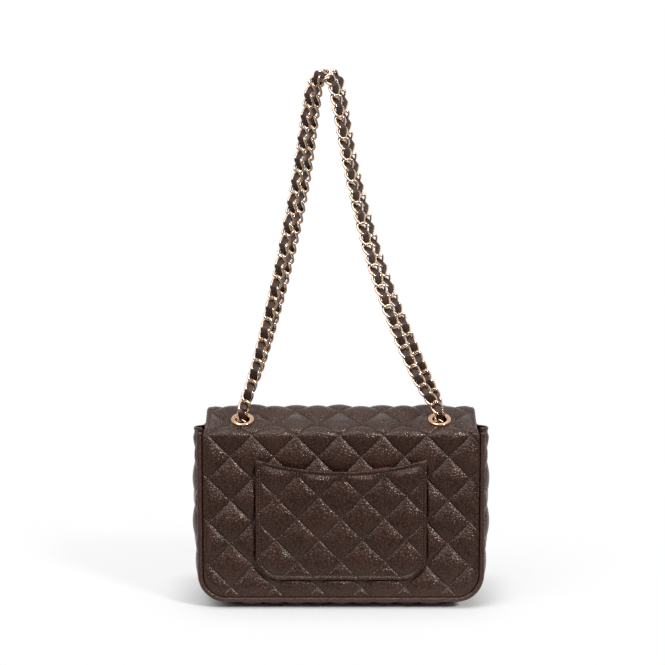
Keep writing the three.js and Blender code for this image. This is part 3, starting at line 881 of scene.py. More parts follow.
@dataclass
class ShellLine:
    """The line in y and z that the back, the roof and the flap's front follow, by quilt length."""

    back: float = -37.5
    foot: float = 11.0
    back_bend: float = 10.0
    slope: float = math.radians(22.5)
    crest_y: float = 4.0
    crest_top: float = 174.0
    crest_radius: float = 20.0
    front: float = 43.3
    front_bend: float = 12.0
    bottom: float = 50.0
    roof_low: float = 158.0
    window_z: float = 73.0
    window: Span = (11.0, 9.0)
    step: float = 0.4
    table: Array = field(init=False)

    def __post_init__(self) -> None:
        """Walk along the line once and keep its points and normals."""
        sine, cosine, tangent = math.sin(self.slope), math.cos(self.slope), math.tan(self.slope)
        centre_z = self.crest_top - self.crest_radius
        corner_z = centre_z + self.crest_radius / cosine + (self.back - self.crest_y) * tangent
        turn = math.pi / 2 - self.slope
        cut = self.back_bend * math.tan(turn / 2)
        roof_back = (self.crest_y - self.crest_radius * sine - self.back) / cosine - cut
        bend_y = self.front - self.front_bend
        roof_front = (bend_y + self.front_bend * sine - self.crest_y - self.crest_radius * sine) / cosine
        reach = self.crest_y * sine + centre_z * cosine + self.crest_radius - self.front_bend
        bend_z = (reach - bend_y * sine) / cosine
        walk = [(0.0, corner_z - cut - self.foot), (turn, self.back_bend), (0.0, roof_back),
                (2 * self.slope, self.crest_radius), (0.0, roof_front), (turn, self.front_bend),
                (0.0, bend_z - self.bottom)]
        rows = [(self.foot, self.back, self.foot, math.pi / 2)]
        for bend, size in walk:
            length, y, z, heading = rows[-1]
            steps = max(2, int((bend * size if bend else size) / self.step))
            for share in np.linspace(0, 1, steps + 1)[1:]:
                if bend:
                    now = heading - bend * share
                    rows.append((length + bend * size * share,
                                 y + size * (math.sin(heading) - math.sin(now)),
                                 z + size * (math.cos(now) - math.cos(heading)), now))
                else:
                    rows.append((length + size * share, y + size * share * math.cos(heading),
                                 z + size * share * math.sin(heading), heading))
        self.table = np.array(rows)

    @property
    def end(self) -> float:
        """Quilt length at the flap's lower edge."""
        return float(self.table[-1, 0])

    def at(self, length: Array) -> tuple[Array, Array, Array, Array]:
        """The points' y and z and the outward normals' y and z at quilt lengths (z on the back)."""
        y, z, heading = (np.interp(length, self.table[:, 0], self.table[:, k]) for k in (1, 2, 3))
        return y, z, -np.sin(heading), np.cos(heading)

    def roof_length(self, y: float) -> float:
        """Quilt length of the roof point over a given y."""
        roof = self.table[self.table[:, 2] > self.roof_low]
        return float(np.interp(y, roof[:, 1], roof[:, 0]))

    def front_z(self, along: Array) -> Array:
        """Height on the flap's straight front at each quilt length."""
        return self.end - along + self.bottom

    def outside_window(self, across: Array, along: Array, wider: float = 0.0) -> Array:
        """Whether places lie outside the flap's window for the lock."""
        high = np.abs(self.front_z(along) - self.window_z)
        return (np.abs(across) > self.window[0] + wider) | (high > self.window[1] + wider)

    def offset(self, across: Array, along: Array, rise: Array | float) -> Array:
        """Points at a height over the line's face."""
        y, z, normal_y, normal_z = self.at(along)
        return np.stack([across, y + normal_y * rise, z + normal_z * rise], -1)


@dataclass
class EyeletRow:
    """Places of the four eyelets on the roof."""

    line: ShellLine
    across: float = 85.4
    back_y: float = -21.4
    front_y: float = 25.0

    def places(self) -> list[tuple[str, float, float]]:
        """Name, x and y of each eyelet."""
        rows = (("back", self.back_y), ("front", self.front_y))
        return [(f"{row}_{side}", sign * self.across, y) for row, y in rows for side, sign in SIDES]

    def away(self, across: Array, along: Array) -> Array:
        """Distance from the nearest eyelet's middle, by quilt length."""
        middles = [(x, self.line.roof_length(y)) for _, x, y in self.places()]
        return np.min([np.hypot(across - x, along - length) for x, length in middles], axis=0)

    def frame(self, x: float, y: float) -> tuple[Array, Array]:
        """Point on the roof's face and the normal there.

        Args:
            x: Place from side to side.
            y: Place from back to front.

        Returns:
            The point and the unit normal.
        """
        past, radius = y - self.line.crest_y, self.line.crest_radius
        normal = np.array([0, math.copysign(math.sin(self.line.slope), past), math.cos(self.line.slope)])
        z = self.line.crest_top - radius + (radius - past * normal[1]) / normal[2]
        return np.array([x, y, z]), normal


@dataclass
class QuiltedShell:
    """Back panel, roof and flap front: one continuous piece of quilted leather."""

    line: ShellLine
    eyelets: EyeletRow
    pocket: "SlipPocket"
    quilt: Quilt = Quilt()
    stitch: Stitch = Stitch()
    half: float = 119.6
    flap_half: float = 117.5
    narrowing: Span = (154.0, 165.0)
    foot_radius: float = 20.0
    flap_radius: float = 24.0
    cell: float = 1.0
    edge_cells: tuple[float, ...] = (0.0, 0.12, 0.4, 0.9, 1.5, 2.3, 3.2)
    roll: Span = (1.4, 2.2)
    roll_from: Span = (152.0, 162.0)
    roof_from: Span = (157.0, 172.0)
    roof_to: Span = (246.0, 258.0)
    roof_sink: float = 1.9
    droop: float = 1.2
    wear: float = 0.3
    crimp: float = 0.13
    edge_level: float = -0.35
    edge_ease: Span = (1.5, 8.5)
    eyelet_level: float = -0.2
    eyelet_ease: Span = (9.2, 13.5)
    lock_level: float = -0.15
    lock_ease: Span = (0.5, 7.0)
    pocket_bed: float = -1.5
    groove: Span = (0.45, 0.7)
    row_from: Span = (153.0, 158.0)
    edge_clear: float = 3.5
    eyelet_clear: float = 11.5
    lock_clear: float = 1.5
    turned_edge: float = 3.3
    turned_start: float = 156.0
    turned_from: Span = (150.0, 158.0)
    thick: Span = (3.0, 4.0)
    thick_from: Span = (150.0, 162.0)
    eyelet_hole: float = 7.4
    lock_z: float = 72.0
    lock_core: Span = (7.0, 1.0)
    lock_round: float = 13.0
    bend_start: tuple[float, float, float] = (0.0, -37.2, 157.0)
    bend_end: tuple[float, float, float] = (0.0, -30.2, 160.5)
    uneven: Unevenness = Unevenness(3, 34.0)
    pucker: Unevenness = Unevenness(5, 2.6)

    def width(self, along: Array) -> Array:
        """Half width at each quilt length."""
        return self.half - (self.half - self.flap_half) * smoothstep(along, *self.narrowing)

    def inset(self, across: Array, along: Array) -> Array:
        """Distance inside the leather's edge."""
        return edge_inset(across, along - self.line.foot, self.line.end - along, self.width(along),
                          self.foot_radius, self.flap_radius)

    def lock_distance(self, across: Array, along: Array) -> Array:
        """Distance outside the lock plate's outline on the flap's front."""
        high = np.abs(self.line.front_z(along) - self.lock_z)
        past = [np.maximum(away - core, 0) for away, core in zip((np.abs(across), high), self.lock_core)]
        return np.hypot(*past) - self.lock_round

    def height(self, across: Array, along: Array) -> Array:
        """Height of the leather over its nominal face.

        Args:
            across: Place from side to side.
            along: Quilt length.

        Returns:
            One height for each place.
        """
        inset = self.inset(across, along)
        crimp = self.pucker.at(across, along) * np.exp(-4 * self.quilt.cushion(across, along))
        wear = self.wear * self.uneven.at(across, along) + self.crimp * crimp
        roof = smoothstep(along, *self.roof_from) * (1 - smoothstep(along, *self.roof_to))
        droop = self.droop * np.clip(np.abs(across) / self.flap_half, 0, 1) ** 8
        puff = self.quilt.height(across, along) + wear - roof * (self.roof_sink + droop)
        puff = pressed(puff, self.edge_level - roof * (1 + droop), smoothstep(inset, *self.edge_ease))
        puff = pressed(puff, self.pocket_bed, 1 - self.pocket.press(across, along))
        near = smoothstep(self.eyelets.away(across, along), *self.eyelet_ease)
        puff = pressed(puff, self.eyelet_level, near)
        near = smoothstep(self.lock_distance(across, along), *self.lock_ease)
        puff = pressed(puff, self.lock_level, near)
        deep, wide = self.groove
        sewn = smoothstep(along, *self.turned_from) * np.exp(-(((inset - self.turned_edge) / wide) ** 2))
        roll = pressed(self.roll[1], self.roll[0], smoothstep(along, *self.roll_from))
        return puff - deep * sewn - edge_roll(inset / roll, 1.0) * roll

    def surface(self, across: Array, along: Array) -> tuple[Array, Array]:
        """Points and normals of the outer face."""
        y, _, normal_y, normal_z = self.line.at(along)
        point = self.line.offset(across, along, self.height(across, along))
        return point, np.stack([np.zeros_like(y), normal_y, normal_z], -1)

    def grid(self) -> tuple[Array, Array]:
        """Places of all points, with rows that follow the rounded ends.

        Returns:
            Across and quilt length, as rows by columns.
        """
        foot, end = self.line.foot, self.line.end
        *cells, rim = self.edge_cells
        edge = np.array(cells)
        body = np.linspace(foot + rim, end - rim, int((end - foot - 2 * rim) / self.cell))
        rows = np.concatenate([foot + edge, body, end - edge[::-1]])
        share = corner_columns(self.half, self.foot_radius, self.cell) / self.half
        along, share = np.meshgrid(rows, share, indexing="ij")
        low = corner_rise(share * self.half, self.half, self.foot_radius)
        high = corner_rise(share * self.flap_half, self.flap_half, self.flap_radius)
        along = round_ends(along, (foot, end), low, high)
        return share * self.width(along), along

    def edge_rows(self) -> Array:
        """Stitch places along the flap's turned edge."""
        rim = (self.flap_half, self.flap_radius, self.line.end)
        half, radius, end = (size - self.turned_edge for size in rim)
        return row_of_stitches(rounded_row(half, radius, self.turned_start, end, 12), self.stitch.pitch)

    def build(self, finishes: Finishes) -> Piece:
        """Make the shell with its quilting stitches.

        Args:
            finishes: The bag's finishes.

        Returns:
            The piece.
        """
        across, along = self.grid()
        outer, _ = self.surface(across, along)
        thick = pressed(self.thick[1], self.thick[0], smoothstep(along, *self.thick_from))
        inner = self.line.offset(across, along, -thick)
        middles = cell_middles(across, along)
        keep = (self.eyelets.away(*middles) > self.eyelet_hole) & self.line.outside_window(*middles)
        mesh = PieceMesh()
        back = 1 - smoothstep(along, *self.row_from)
        row = self.inset(across, along) - self.turned_edge + CLEAR[2] * back
        mesh.add_slab(outer, inner, keep, self.quilt.tone(across, along), self.quilt.seam(across, along, row))
        low, high = (-self.half, self.line.foot), (self.half, self.line.end)
        places = self.quilt.stitches(low, high, self.stitch.pitch)
        at = places[:, :2].T
        clear = (self.inset(*at) > self.edge_clear) & (self.eyelets.away(*at) > self.eyelet_clear)
        clear &= self.lock_distance(*at) > self.lock_clear
        self.stitch.sew(mesh, places[clear], self.surface, 1)
        self.stitch.sew(mesh, self.edge_rows(), self.surface, 1)
        return mesh.build("quilted_shell", [finishes.leather, finishes.thread])

    def dress(self, piece: Piece) -> None:
        """Bake the shell's place into its mesh, and say what it stands for."""
        start, end = (tuple(np.array(place) * MM) for place in (self.bend_start, self.bend_end))
        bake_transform(piece)
        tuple(start)
        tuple(end)
        label(piece, Slot.LEATHER, "back_panel", "flap")


@dataclass
class FrontPanel:
    """Quilted front panel that the flap covers."""

    quilt: Quilt = Quilt(puff=2.0, sunk=1.7)
    stitch: Stitch = Stitch()
    half: float = 120.0
    foot: float = 11.0
    top: float = 154.6
    face: float = 36.5
    thick: float = 3.0
    radius: float = 20.0
    top_radius: float = 12.0
    roll: float = 1.8
    cell: float = 1.6
    edge_level: float = -0.6
    edge_ease: Span = (1.5, 8.0)
    edge_clear: float = 3.5
    lock_z: float = 74.7
    lock_hole: float = 3.4
    lock_level: float = -0.05
    lock_ease: Span = (9.0, 15.0)
    lock_clear: float = 10.0

    def inset(self, across: Array, along: Array) -> Array:
        """Distance inside the panel's edge."""
        below, above = along - self.foot, self.top - along
        return edge_inset(across, below, above, self.half, self.radius, self.top_radius)

    def surface(self, across: Array, along: Array) -> tuple[Array, Array]:
        """Points and normals of the outer face.

        Args:
            across: Place from side to side.
            along: Height.

        Returns:
            Points and normals.
        """
        inset = self.inset(across, along)
        rise = pressed(self.quilt.height(across, along), self.edge_level, smoothstep(inset, *self.edge_ease))
        away = np.hypot(across, along - self.lock_z)
        rise = pressed(rise, self.lock_level, smoothstep(away, *self.lock_ease)) - edge_roll(inset, self.roll)
        normal = np.broadcast_to([0.0, 1.0, 0.0], (*np.shape(across), 3))
        return upright(across, self.face + rise, along), normal

    def build(self, finishes: Finishes) -> Piece:
        """Make the panel.

        Args:
            finishes: The bag's finishes.

        Returns:
            The piece.
        """
        columns = corner_columns(self.half, self.radius, self.cell)
        rows = np.linspace(self.foot, self.top, int((self.top - self.foot) / self.cell))
        along, across = np.meshgrid(rows, columns, indexing="ij")
        low, high = (corner_rise(across, self.half, radius) for radius in (self.radius, self.top_radius))
        along = round_ends(along, (self.foot, self.top), low, high)
        outer, _ = self.surface(across, along)
        mesh = PieceMesh()
        middle_x, middle_z = cell_middles(across, along)
        keep = np.hypot(middle_x, middle_z - self.lock_z) > self.lock_hole
        mesh.add_slab(outer, upright(across, self.face - self.thick, along), keep,
                      self.quilt.tone(across, along), self.quilt.seam(across, along))
        places = self.quilt.stitches((-self.half, self.foot), (self.half, self.top), self.stitch.pitch)
        x, z = places[:, :2].T
        clear = (self.inset(x, z) > self.edge_clear) & (np.hypot(x, z - self.lock_z) > self.lock_clear)
        self.stitch.sew(mesh, places[clear], self.surface, 1)
        return mesh.build("quilted_front", [finishes.leather, finishes.thread])

    def dress(self, piece: Piece) -> None:
        """Fix the panel to the bag."""
        put(piece, Body.BAG, Slot.LEATHER, "front_panel")


@dataclass
class SeamPath:
    """The seam line down one side, round the bottom and up the other side."""

    half: float = 120.0
    foot: float = 11.0
    radius: float = 20.0
    top: float = 154.8

    @property
    def length(self) -> float:
        """Length of the whole seam."""
        straight = (self.top - self.foot - self.radius) + (self.half - self.radius)
        return 2 * straight + math.pi * self.radius

    def at(self, along: Array) -> tuple[Array, Array]:
        """Points of the seam and the directions that point out of the bag there.

        Args:
            along: Length from the top of the left side.

        Returns:
            Points as x and z, and directions as x and z.
        """
        flip = np.where(along > self.length / 2, -1.0, 1.0)
        run = np.where(along > self.length / 2, self.length - along, along)
        side = self.top - self.foot - self.radius  # straight part of one side
        turn = np.clip((run - side) / self.radius, 0, math.pi / 2)
        past = np.maximum(run - side - math.pi / 2 * self.radius, 0)
        x = -(self.half - self.radius) - self.radius * np.cos(turn) + past
        z = self.foot + self.radius - self.radius * np.sin(turn) + np.maximum(side - run, 0)
        out_x, out_z = -np.cos(turn), -np.sin(turn)
        return np.stack([flip * x, z], -1), np.stack([flip * out_x, out_z], -1)


@dataclass(frozen=True)
class Piping:
    """A thin cord of leather in one seam, which ends short of the seam's top and may tuck its ends in."""

    name: str
    y: float
    short: float
    tuck: float


@dataclass
class Gusset:
    """The bulging quilted strip between the panels, with the piping and bindings at its edges."""

    seam: SeamPath
    back: float = -34.2
    front: float = 33.2
    bulge: float = 11.0
    fullness: Span = (4.2, 2.3)
    thick: float = 2.6
    quilt: Quilt = Quilt(node=(0.0, 79.8), pitch=(38.0, 38.98), puff=3.0, sunk=2.2)
    stitch: Stitch = Stitch()
    columns: int = 66
    rows: int = 361
    pipings: tuple[Piping, ...] = (Piping("back_seam_piping", -35.9, -2.0, 0.0),
                                   Piping("front_seam_piping", 34.9, 7.0, 2.7))
    piping: Span = (2.15, 1.6)
    piping_out: float = 2.3
    piping_swell: float = 0.05
    piping_sides: int = 14
    piping_squareness: float = 0.85
    tuck_length: float = 18.0
    binding_radius: float = 1.2
    binding_in: float = 1.3
    binding_width: float = 0.985
    inner_width: float = 0.94
    inner_low: float = -0.4
    seam_level: float = -0.8
    seam_ease: Span = (1.5, 8.0)
    mouth_ease: Span = (1.0, 7.0)
    seam_clear: float = 3.0
    mouth_clear: float = 4.0
    mouth: float = 157.3
    mouth_depth: float = 42.0
    mouth_rise: Span = (2.6, 7.2)
    mouth_fold: Span = (0.12, 0.68)
    fold_from: Span = (-31.0, -4.0)
    corner_from: Span = (86.0, 128.0)
    corner_to: Span = (142.0, 172.0)
    corner_draw: float = 0.44
    side_from: Span = (8.0, 40.0)
    side_draw: float = 0.16

    @property
    def middle(self) -> float:
        """The y halfway between the two seams."""
        return (self.back + self.front) / 2

    def mirrored(self, along: Array) -> Array:
        """Length below the nearer end of the mouth."""
        return np.minimum(along, self.seam.length - along)

    def section(self, count: int) -> tuple[Array, Array, Array]:
        """Evenly spaced points across the bulge.

        Args:
            count: Number of points.

        Returns:
            The places along y, the heights out of the seam, and the lengths from the middle.
        """
        share = np.sin(np.linspace(-np.pi / 2, np.pi / 2, 2001))
        out = self.bulge * np.maximum(1 - np.abs(share) ** self.fullness[0], 0) ** (1 / self.fullness[1])
        y = self.middle + share * (self.front - self.back) / 2
        length = lengths_along(np.stack([y, out], 1))
        even = np.linspace(0, length[-1], count)
        return np.interp(even, length, y), np.interp(even, length, out), even - length[-1] / 2

    def surface(self, across: Array, along: Array) -> tuple[Array, Array]:
        """Points and normals of the outer face.

        Args:
            across: Length across the strip from its middle.
            along: Length along the seam.

        Returns:
            Points and normals.
        """
        y, out, even = self.section(801)
        slope = np.arctan2(np.gradient(out, even), np.gradient(y, even))
        y, out, slope = (np.interp(across, even, values) for values in (y, out, slope))
        below = self.mirrored(along)
        puff = self.quilt.height(across, below)
        puff = pressed(puff, self.seam_level, smoothstep(even[-1] - np.abs(across), *self.seam_ease))
        puff = pressed(puff, self.seam_level, smoothstep(below, *self.mouth_ease))
        point, outward, squeeze = self.edge(y, along)
        lift = out * squeeze + puff * np.cos(slope)
        lift = np.where(outward[..., 1] < -0.7, np.minimum(lift, self.bulge), lift)
        facing = upright(outward[..., 0] * np.cos(slope), -np.sin(slope), outward[..., 1] * np.cos(slope))
        return self.lifted(point, outward, lift, y - puff * np.sin(slope)), facing

    def edge(self, y: Array, along: Array) -> tuple[Array, Array, Array]:
        """The seam's points and directions, and the share of the bulge there.

        Args:
            y: Place from back to front.
            along: Length along the seam.

        Returns:
            Points as x and z, directions as x and z, and shares.
        """
        point, outward = self.seam.at(along)
        rise, squeeze = self.mouth_shape(y, self.mirrored(along))
        return np.stack([point[..., 0], point[..., 1] + rise], -1), outward, squeeze

    def lifted(self, point: Array, outward: Array, lift: Array, y: Array) -> Array:
        """Points at heights out of the seam."""
        out = point + outward * lift[..., None]
        return upright(out[..., 0], y, out[..., 1])

    def mouth_shape(self, y: Array, below: Array) -> tuple[Array, Array]:
        """How the strip folds in at the mouth, where its front is pushed in, and draws in below.

        Args:
            y: Place from back to front.
            below: Length below the mouth.

        Returns:
            Rise of the edge and share of the bulge that is left.
        """
        close = 1 - smoothstep(below, 0, self.mouth_depth)
        low = smoothstep(below, *self.corner_from)
        corner = low * (1 - smoothstep(below, *self.corner_to))
        side = smoothstep(below, *self.side_from) * (1 - low)
        rise = close * (self.mouth_rise[0] - self.mouth_rise[1] * smoothstep(y, self.back, self.front))
        fold = close * (self.mouth_fold[0] + self.mouth_fold[1] * smoothstep(y, *self.fold_from))
        return rise, 1 - fold - self.corner_draw * corner - self.side_draw * side

    def mouth_reach(self, y: Array) -> Array:
        """How far outside the seam the strip's inner face lies at the mouth."""
        place, out, _ = self.section(201)
        _, squeeze = self.mouth_shape(place, np.zeros_like(place))
        return np.interp(y, place, np.maximum(out * squeeze - self.thick, 0))

    def build(self, finishes: Finishes) -> list[Piece]:
        """Make the strip, the two pipings and the two bindings.

        Args:
            finishes: The bag's finishes.

        Returns:
            The pieces in that order.
        """
        y, out, even = self.section(self.columns)
        along, across = np.meshgrid(np.linspace(0, self.seam.length, self.rows), even, indexing="ij")
        outer, _ = self.surface(across, along)
        point, outward, squeeze = self.edge(y[None, :], along)
        deep = np.maximum(out * squeeze - self.thick - self.quilt.sunk / 2, self.inner_low)
        inner = self.lifted(point, outward, deep, pressed(y, self.middle, self.inner_width))
        mesh = PieceMesh()
        below = self.mirrored(along)
        mesh.add_slab(outer, inner, None, self.quilt.tone(across, below), self.quilt.seam(across, below))
        places = self.quilt.stitches((-50.0, 0.0), (50.0, self.seam.length / 2), self.stitch.pitch)
        inside = np.abs(places[:, 0]) < even[-1] - self.seam_clear
        places = places[inside & (places[:, 1] > self.mouth_clear)]
        other = np.stack([places[:, 0], self.seam.length - places[:, 1], places[:, 2], -places[:, 3]], 1)
        self.stitch.sew(mesh, np.concatenate([places, other]), self.surface, 1)
        pieces = [mesh.build("quilted_gusset", [finishes.leather, finishes.thread])]
        pieces += [self.cord(piping, finishes) for piping in self.pipings]
        pieces += [self.binding(f"mouth_edge_{side}", sign, finishes) for side, sign in SIDES]
        return pieces

    def cord(self, piping: Piping, finishes: Finishes) -> Piece:
        """Make the cord of one seam.

        Args:
            piping: The cord.
            finishes: The bag's finishes.

        Returns:
            The piece.
        """
        along = np.linspace(piping.short, self.seam.length - piping.short, 400)
        point, outward = self.seam.at(along)
        end = (piping.short, piping.short + self.tuck_length)
        drawn = piping.tuck * (1 - smoothstep(self.mirrored(along), *end))
        path = self.lifted(point, outward, self.piping_out - drawn, piping.y)
        side = np.broadcast_to([0.0, 1.0, 0.0], path.shape)
        swell = 1 + self.piping_swell * Unevenness(9, 5.0).at(along, np.zeros_like(along))
        deep, wide = (size * swell for size in self.piping)
        mesh = PieceMesh()
        rings = tube(path, side, wide, deep, self.piping_sides, self.piping_squareness)
        mesh.add_grid(rings, caps=True, ring=True)
        return mesh.build(piping.name, [finishes.piping])

    def binding(self, name: str, side: int, finishes: Finishes) -> Piece:
        """The bound top edge of one gusset side.

        Args:
            name: Name of the piece.
            side: -1 for the left, 1 for the right.
            finishes: The bag's finishes.

        Returns:
            The piece.
        """
        y, out, _ = self.section(60)
        rise, squeeze = self.mouth_shape(y, np.zeros_like(y))
        x = side * (self.seam.half + np.maximum(out * squeeze - self.binding_in, 0))
        y = pressed(y, self.middle, self.binding_width)
        path = upright(x, y, self.mouth - self.binding_radius + rise)
        mesh = PieceMesh()
        up = np.broadcast_to([0.0, 0.0, 1.0], path.shape)
        rings = tube(path, up, self.binding_radius * 1.5, self.binding_radius, 12)
        mesh.add_grid(rings, caps=True, ring=True)
        return mesh.build(name, [finishes.leather])

    def dress(self, pieces: Sequence[Piece]) -> None:
        """Fix the strip, pipings and bindings to the bag."""
        nodes = ("gusset", "back_piping", "front_piping", "mouth_binding_left", "mouth_binding_right")
        for piece, node in zip(pieces, nodes):
            put(piece, Body.BAG, Slot.LEATHER, node)


@dataclass
class SlipPocket:
    """Quilted slip pocket on the back with its lining and edge stitching."""

    quilt: Quilt = Quilt(node=(0.0, 82.3), puff=3.3, sunk=1.4)
    stitch: Stitch = Stitch(length=1.75, radius=0.38, rise=0.4, pitch=2.6)
    half: float = 73.9
    low: float = 27.5
    high: float = 134.0
    dip: float = 10.0
    radius: float = 21.0
    seat: float = -39.4
    room: float = 4.6
    thick: float = 2.0
    lining: float = 0.7
    row: float = 3.5
    cell: float = 1.2
    bed: float = 0.9
    edge_level: float = -0.2
    edge_ease: Span = (3.5, 8.5)
    edge_clear: float = 4.5
    welt: float = 0.75
    welt_from: float = 2.0
    groove: Span = (0.55, 0.7)
    roll: float = 0.9
    rim_shares: tuple[float, ...] = (0.0, 0.0015, 0.005, 0.01)
    lining_cell: float = 1.8
    lining_low: float = 1.2
    lining_proud: float = 1.8
    lining_bulge: Span = (33.0, 13.0)

    def bottom(self, across: Array) -> Array:
        """Height of the lower edge at each place across."""
        return self.low + corner_rise(across, self.half, self.radius)

    def mouth(self, across: Array) -> Array:
        """Height of the dipped mouth at each place across."""
        return self.high - self.dip * (1 - (across / self.half) ** 2)

    def inset(self, across: Array, along: Array) -> Array:
        """Distance inside the sewn sides and lower edge."""
        far = np.full(np.shape(along), 60.0)
        return edge_inset(across, along - self.low, far, self.half, self.radius, 1.0)

    def press(self, across: Array, along: Array) -> Array:
        """How much the pocket's seam presses the back panel flat, from 0 to 1."""
        below = 1 - smoothstep(along - self.mouth(np.clip(across, -self.half, self.half)), -14, -4)
        return below * (1 - smoothstep(-self.inset(across, along), -0.4, 2.0))

    def slack(self, across: Array, along: Array) -> Array:
        """How far the pocket stands off the back, most at the middle of its mouth."""
        share = np.clip((along - self.bottom(across)) / (self.mouth(across) - self.bottom(across)), 0, 1.05)
        sides = np.maximum(1 - np.abs(across / self.half) ** 2.6, 0)
        return self.room * share**1.3 * sides

    def face(self, across: Array, along: Array) -> Array:
        """The y of the pocket's inner face."""
        return self.seat + self.bed - self.slack(across, along)

    def surface(self, across: Array, along: Array) -> tuple[Array, Array]:
        """Points and normals of the outer face.

        Args:
            across: Place from side to side.
            along: Height.

        Returns:
            Points and normals.
        """
        inset = self.inset(across, along)
        top = self.mouth(across) - along
        edge = np.minimum(inset, top)
        rise = pressed(self.quilt.height(across, along), self.edge_level, smoothstep(edge, *self.edge_ease))
        rise = rise + self.welt * (1 - smoothstep(edge, self.welt_from, self.row))
        deep, wide = self.groove
        rise = rise - deep * np.exp(-(((edge - self.row) / wide) ** 2))
        rise = rise - edge_roll(np.maximum(edge, 0), self.roll)
        normal = np.broadcast_to([0.0, -1.0, 0.0], (*np.shape(across), 3))
        return upright(across, self.face(across, along) - self.thick - rise, along), normal

    def build(self, finishes: Finishes) -> list[Piece]:
        """Make the pocket and its lining.

        Args:
            finishes: The bag's finishes.

        Returns:
            The pocket and the lining.
        """
        columns = corner_columns(self.half, self.radius, self.cell)
        edge = np.array(self.rim_shares)
        share = np.concatenate([edge, np.linspace(0.018, 0.982, 86), 1 - edge[::-1]])
        share, across = np.meshgrid(share, columns, indexing="ij")
        along = self.bottom(across) + share * (self.mouth(across) - self.bottom(across))
        outer, _ = self.surface(across, along)
        inner = upright(across, self.face(across, along), along)
        mesh = PieceMesh()
        edge = np.minimum(self.inset(across, along), self.mouth(across) - along)
        # Painted shade along the quilting lines, and darker within 0.8 mm of the pocket's rim.
        tone = np.minimum(self.quilt.tone(across, along), 0.3 + 0.7 * smoothstep(edge, 0.1, 0.8))
        mesh.add_slab(outer, inner, None, tone, self.quilt.seam(across, along, edge - self.row))
        places = self.quilt.stitches((-self.half, self.low), (self.half, self.high), self.stitch.pitch)
        x, z = places[:, :2].T
        clear = np.minimum(self.inset(x, z), self.mouth(x) - z) > self.edge_clear
        Stitch().sew(mesh, places[clear], self.surface, 1)
        self.stitch.sew(mesh, row_of_stitches(self.edge_path(), self.stitch.pitch), self.surface, 1)
        place = np.linspace(-self.half + 5, self.half - 5, 90)
        mouth_row = np.stack([place, self.mouth(place) - self.row], 1)
        self.stitch.sew(mesh, row_of_stitches(mouth_row, self.stitch.pitch), self.surface, 1)
        self.sew_corners(mesh)
        pocket = mesh.build("slip_pocket", [finishes.leather, finishes.thread, finishes.red_thread])
        return [pocket, self.build_lining(finishes)]

    def edge_path(self) -> Array:
        """Path of the stitch row down one side, round the bottom and up the other."""
        half, radius = self.half - self.row, self.radius - self.row
        return rounded_row(half, radius, self.high - 3, self.low + self.row, 14)

    def sew_corners(self, mesh: PieceMesh) -> None:
        """The short rows of close stitches that hold the mouth's two corners."""
        bar = Stitch(length=2.6, radius=0.34, rise=0.42, pitch=0.6)
        for side in (-1, 1):
            across = side * np.linspace(self.half - 5.5, self.half - 1.6, 7)
            along = self.mouth(across) - 1.9
            rows = np.stack([across, along, np.full(7, 0.12), np.ones(7)], 1)
            bar.sew(mesh, rows, self.surface, 2 if side < 0 else 1)

    def build_lining(self, finishes: Finishes) -> Piece:
        """The thin sheet behind the pocket's leather, a little proud of the mouth on the right.

        Args:
            finishes: The bag's finishes.

        Returns:
            The piece.
        """
        half = self.half - self.row - 0.4
        radius = self.radius - self.row
        across = corner_columns(half, radius, self.lining_cell)
        share, across = np.meshgrid(np.linspace(0, 1, 60), across, indexing="ij")
        foot = self.low + self.row + corner_rise(across, half, radius)
        middle, width = self.lining_bulge
        proud = self.lining_proud * np.exp(-(((across - middle) / width) ** 4)) - self.lining_low
        along = foot + share * (self.mouth(across) + proud - foot)
        face = self.face(across, along) + 0.12
        mesh = PieceMesh()
        mesh.add_slab(upright(across, face, along), upright(across, face + self.lining, along))
        return mesh.build("pocket_lining", [finishes.lining])

    def dress(self, pieces: Sequence[Piece]) -> None:
        """Fix the pocket and its lining to the back of the bag."""
        put(pieces[0], Body.BAG, Slot.LEATHER, "back_pocket")
        put(pieces[1], Body.BAG, Slot.LINING, "back_pocket_lining")


@dataclass
class Boards:
    """The stiffening boards behind the two panels, which end below the lining's rim."""

    half: float = 118.8
    low: float = 12.0
    high: float = 149.5
    radius: float = 19.0
    wall: float = 0.9
    cell: float = 3.0
    hole: float = 11.0
    lock_z: float = 74.7
    rows: int = 46
    back_y: float = -34.4
    front_y: float = 32.5

    def build(self, finishes: Finishes) -> list[Piece]:
        """Make both boards.

        Args:
            finishes: The bag's finishes.

        Returns:
            The back board and the front board.
        """
        columns = corner_columns(self.half, self.radius, self.cell)
        share, across = np.meshgrid(np.linspace(0, 1, self.rows), columns, indexing="ij")
        rise = corner_rise(across, self.half, self.radius)
        along = self.low + rise + share * (self.high - self.low - 2 * rise)
        middle_x, middle_z = cell_middles(across, along)
        around = np.hypot(middle_x, middle_z - self.lock_z) > self.hole
        pieces = []
        boards = (("back_stiffener", self.back_y, None), ("front_stiffener", self.front_y, around))
        for name, y, keep in boards:
            mesh = PieceMesh()
            mesh.add_slab(upright(across, y + self.wall, along), upright(across, y, along), keep)
            pieces.append(mesh.build(name, [finishes.board]))
        return pieces

    def dress(self, pieces: Sequence[Piece]) -> None:
        """Fix the boards to the bag."""
        for piece, node in zip(pieces, ("back_board", "front_board")):
            put(piece, Body.BAG, Slot.BOARD, node)


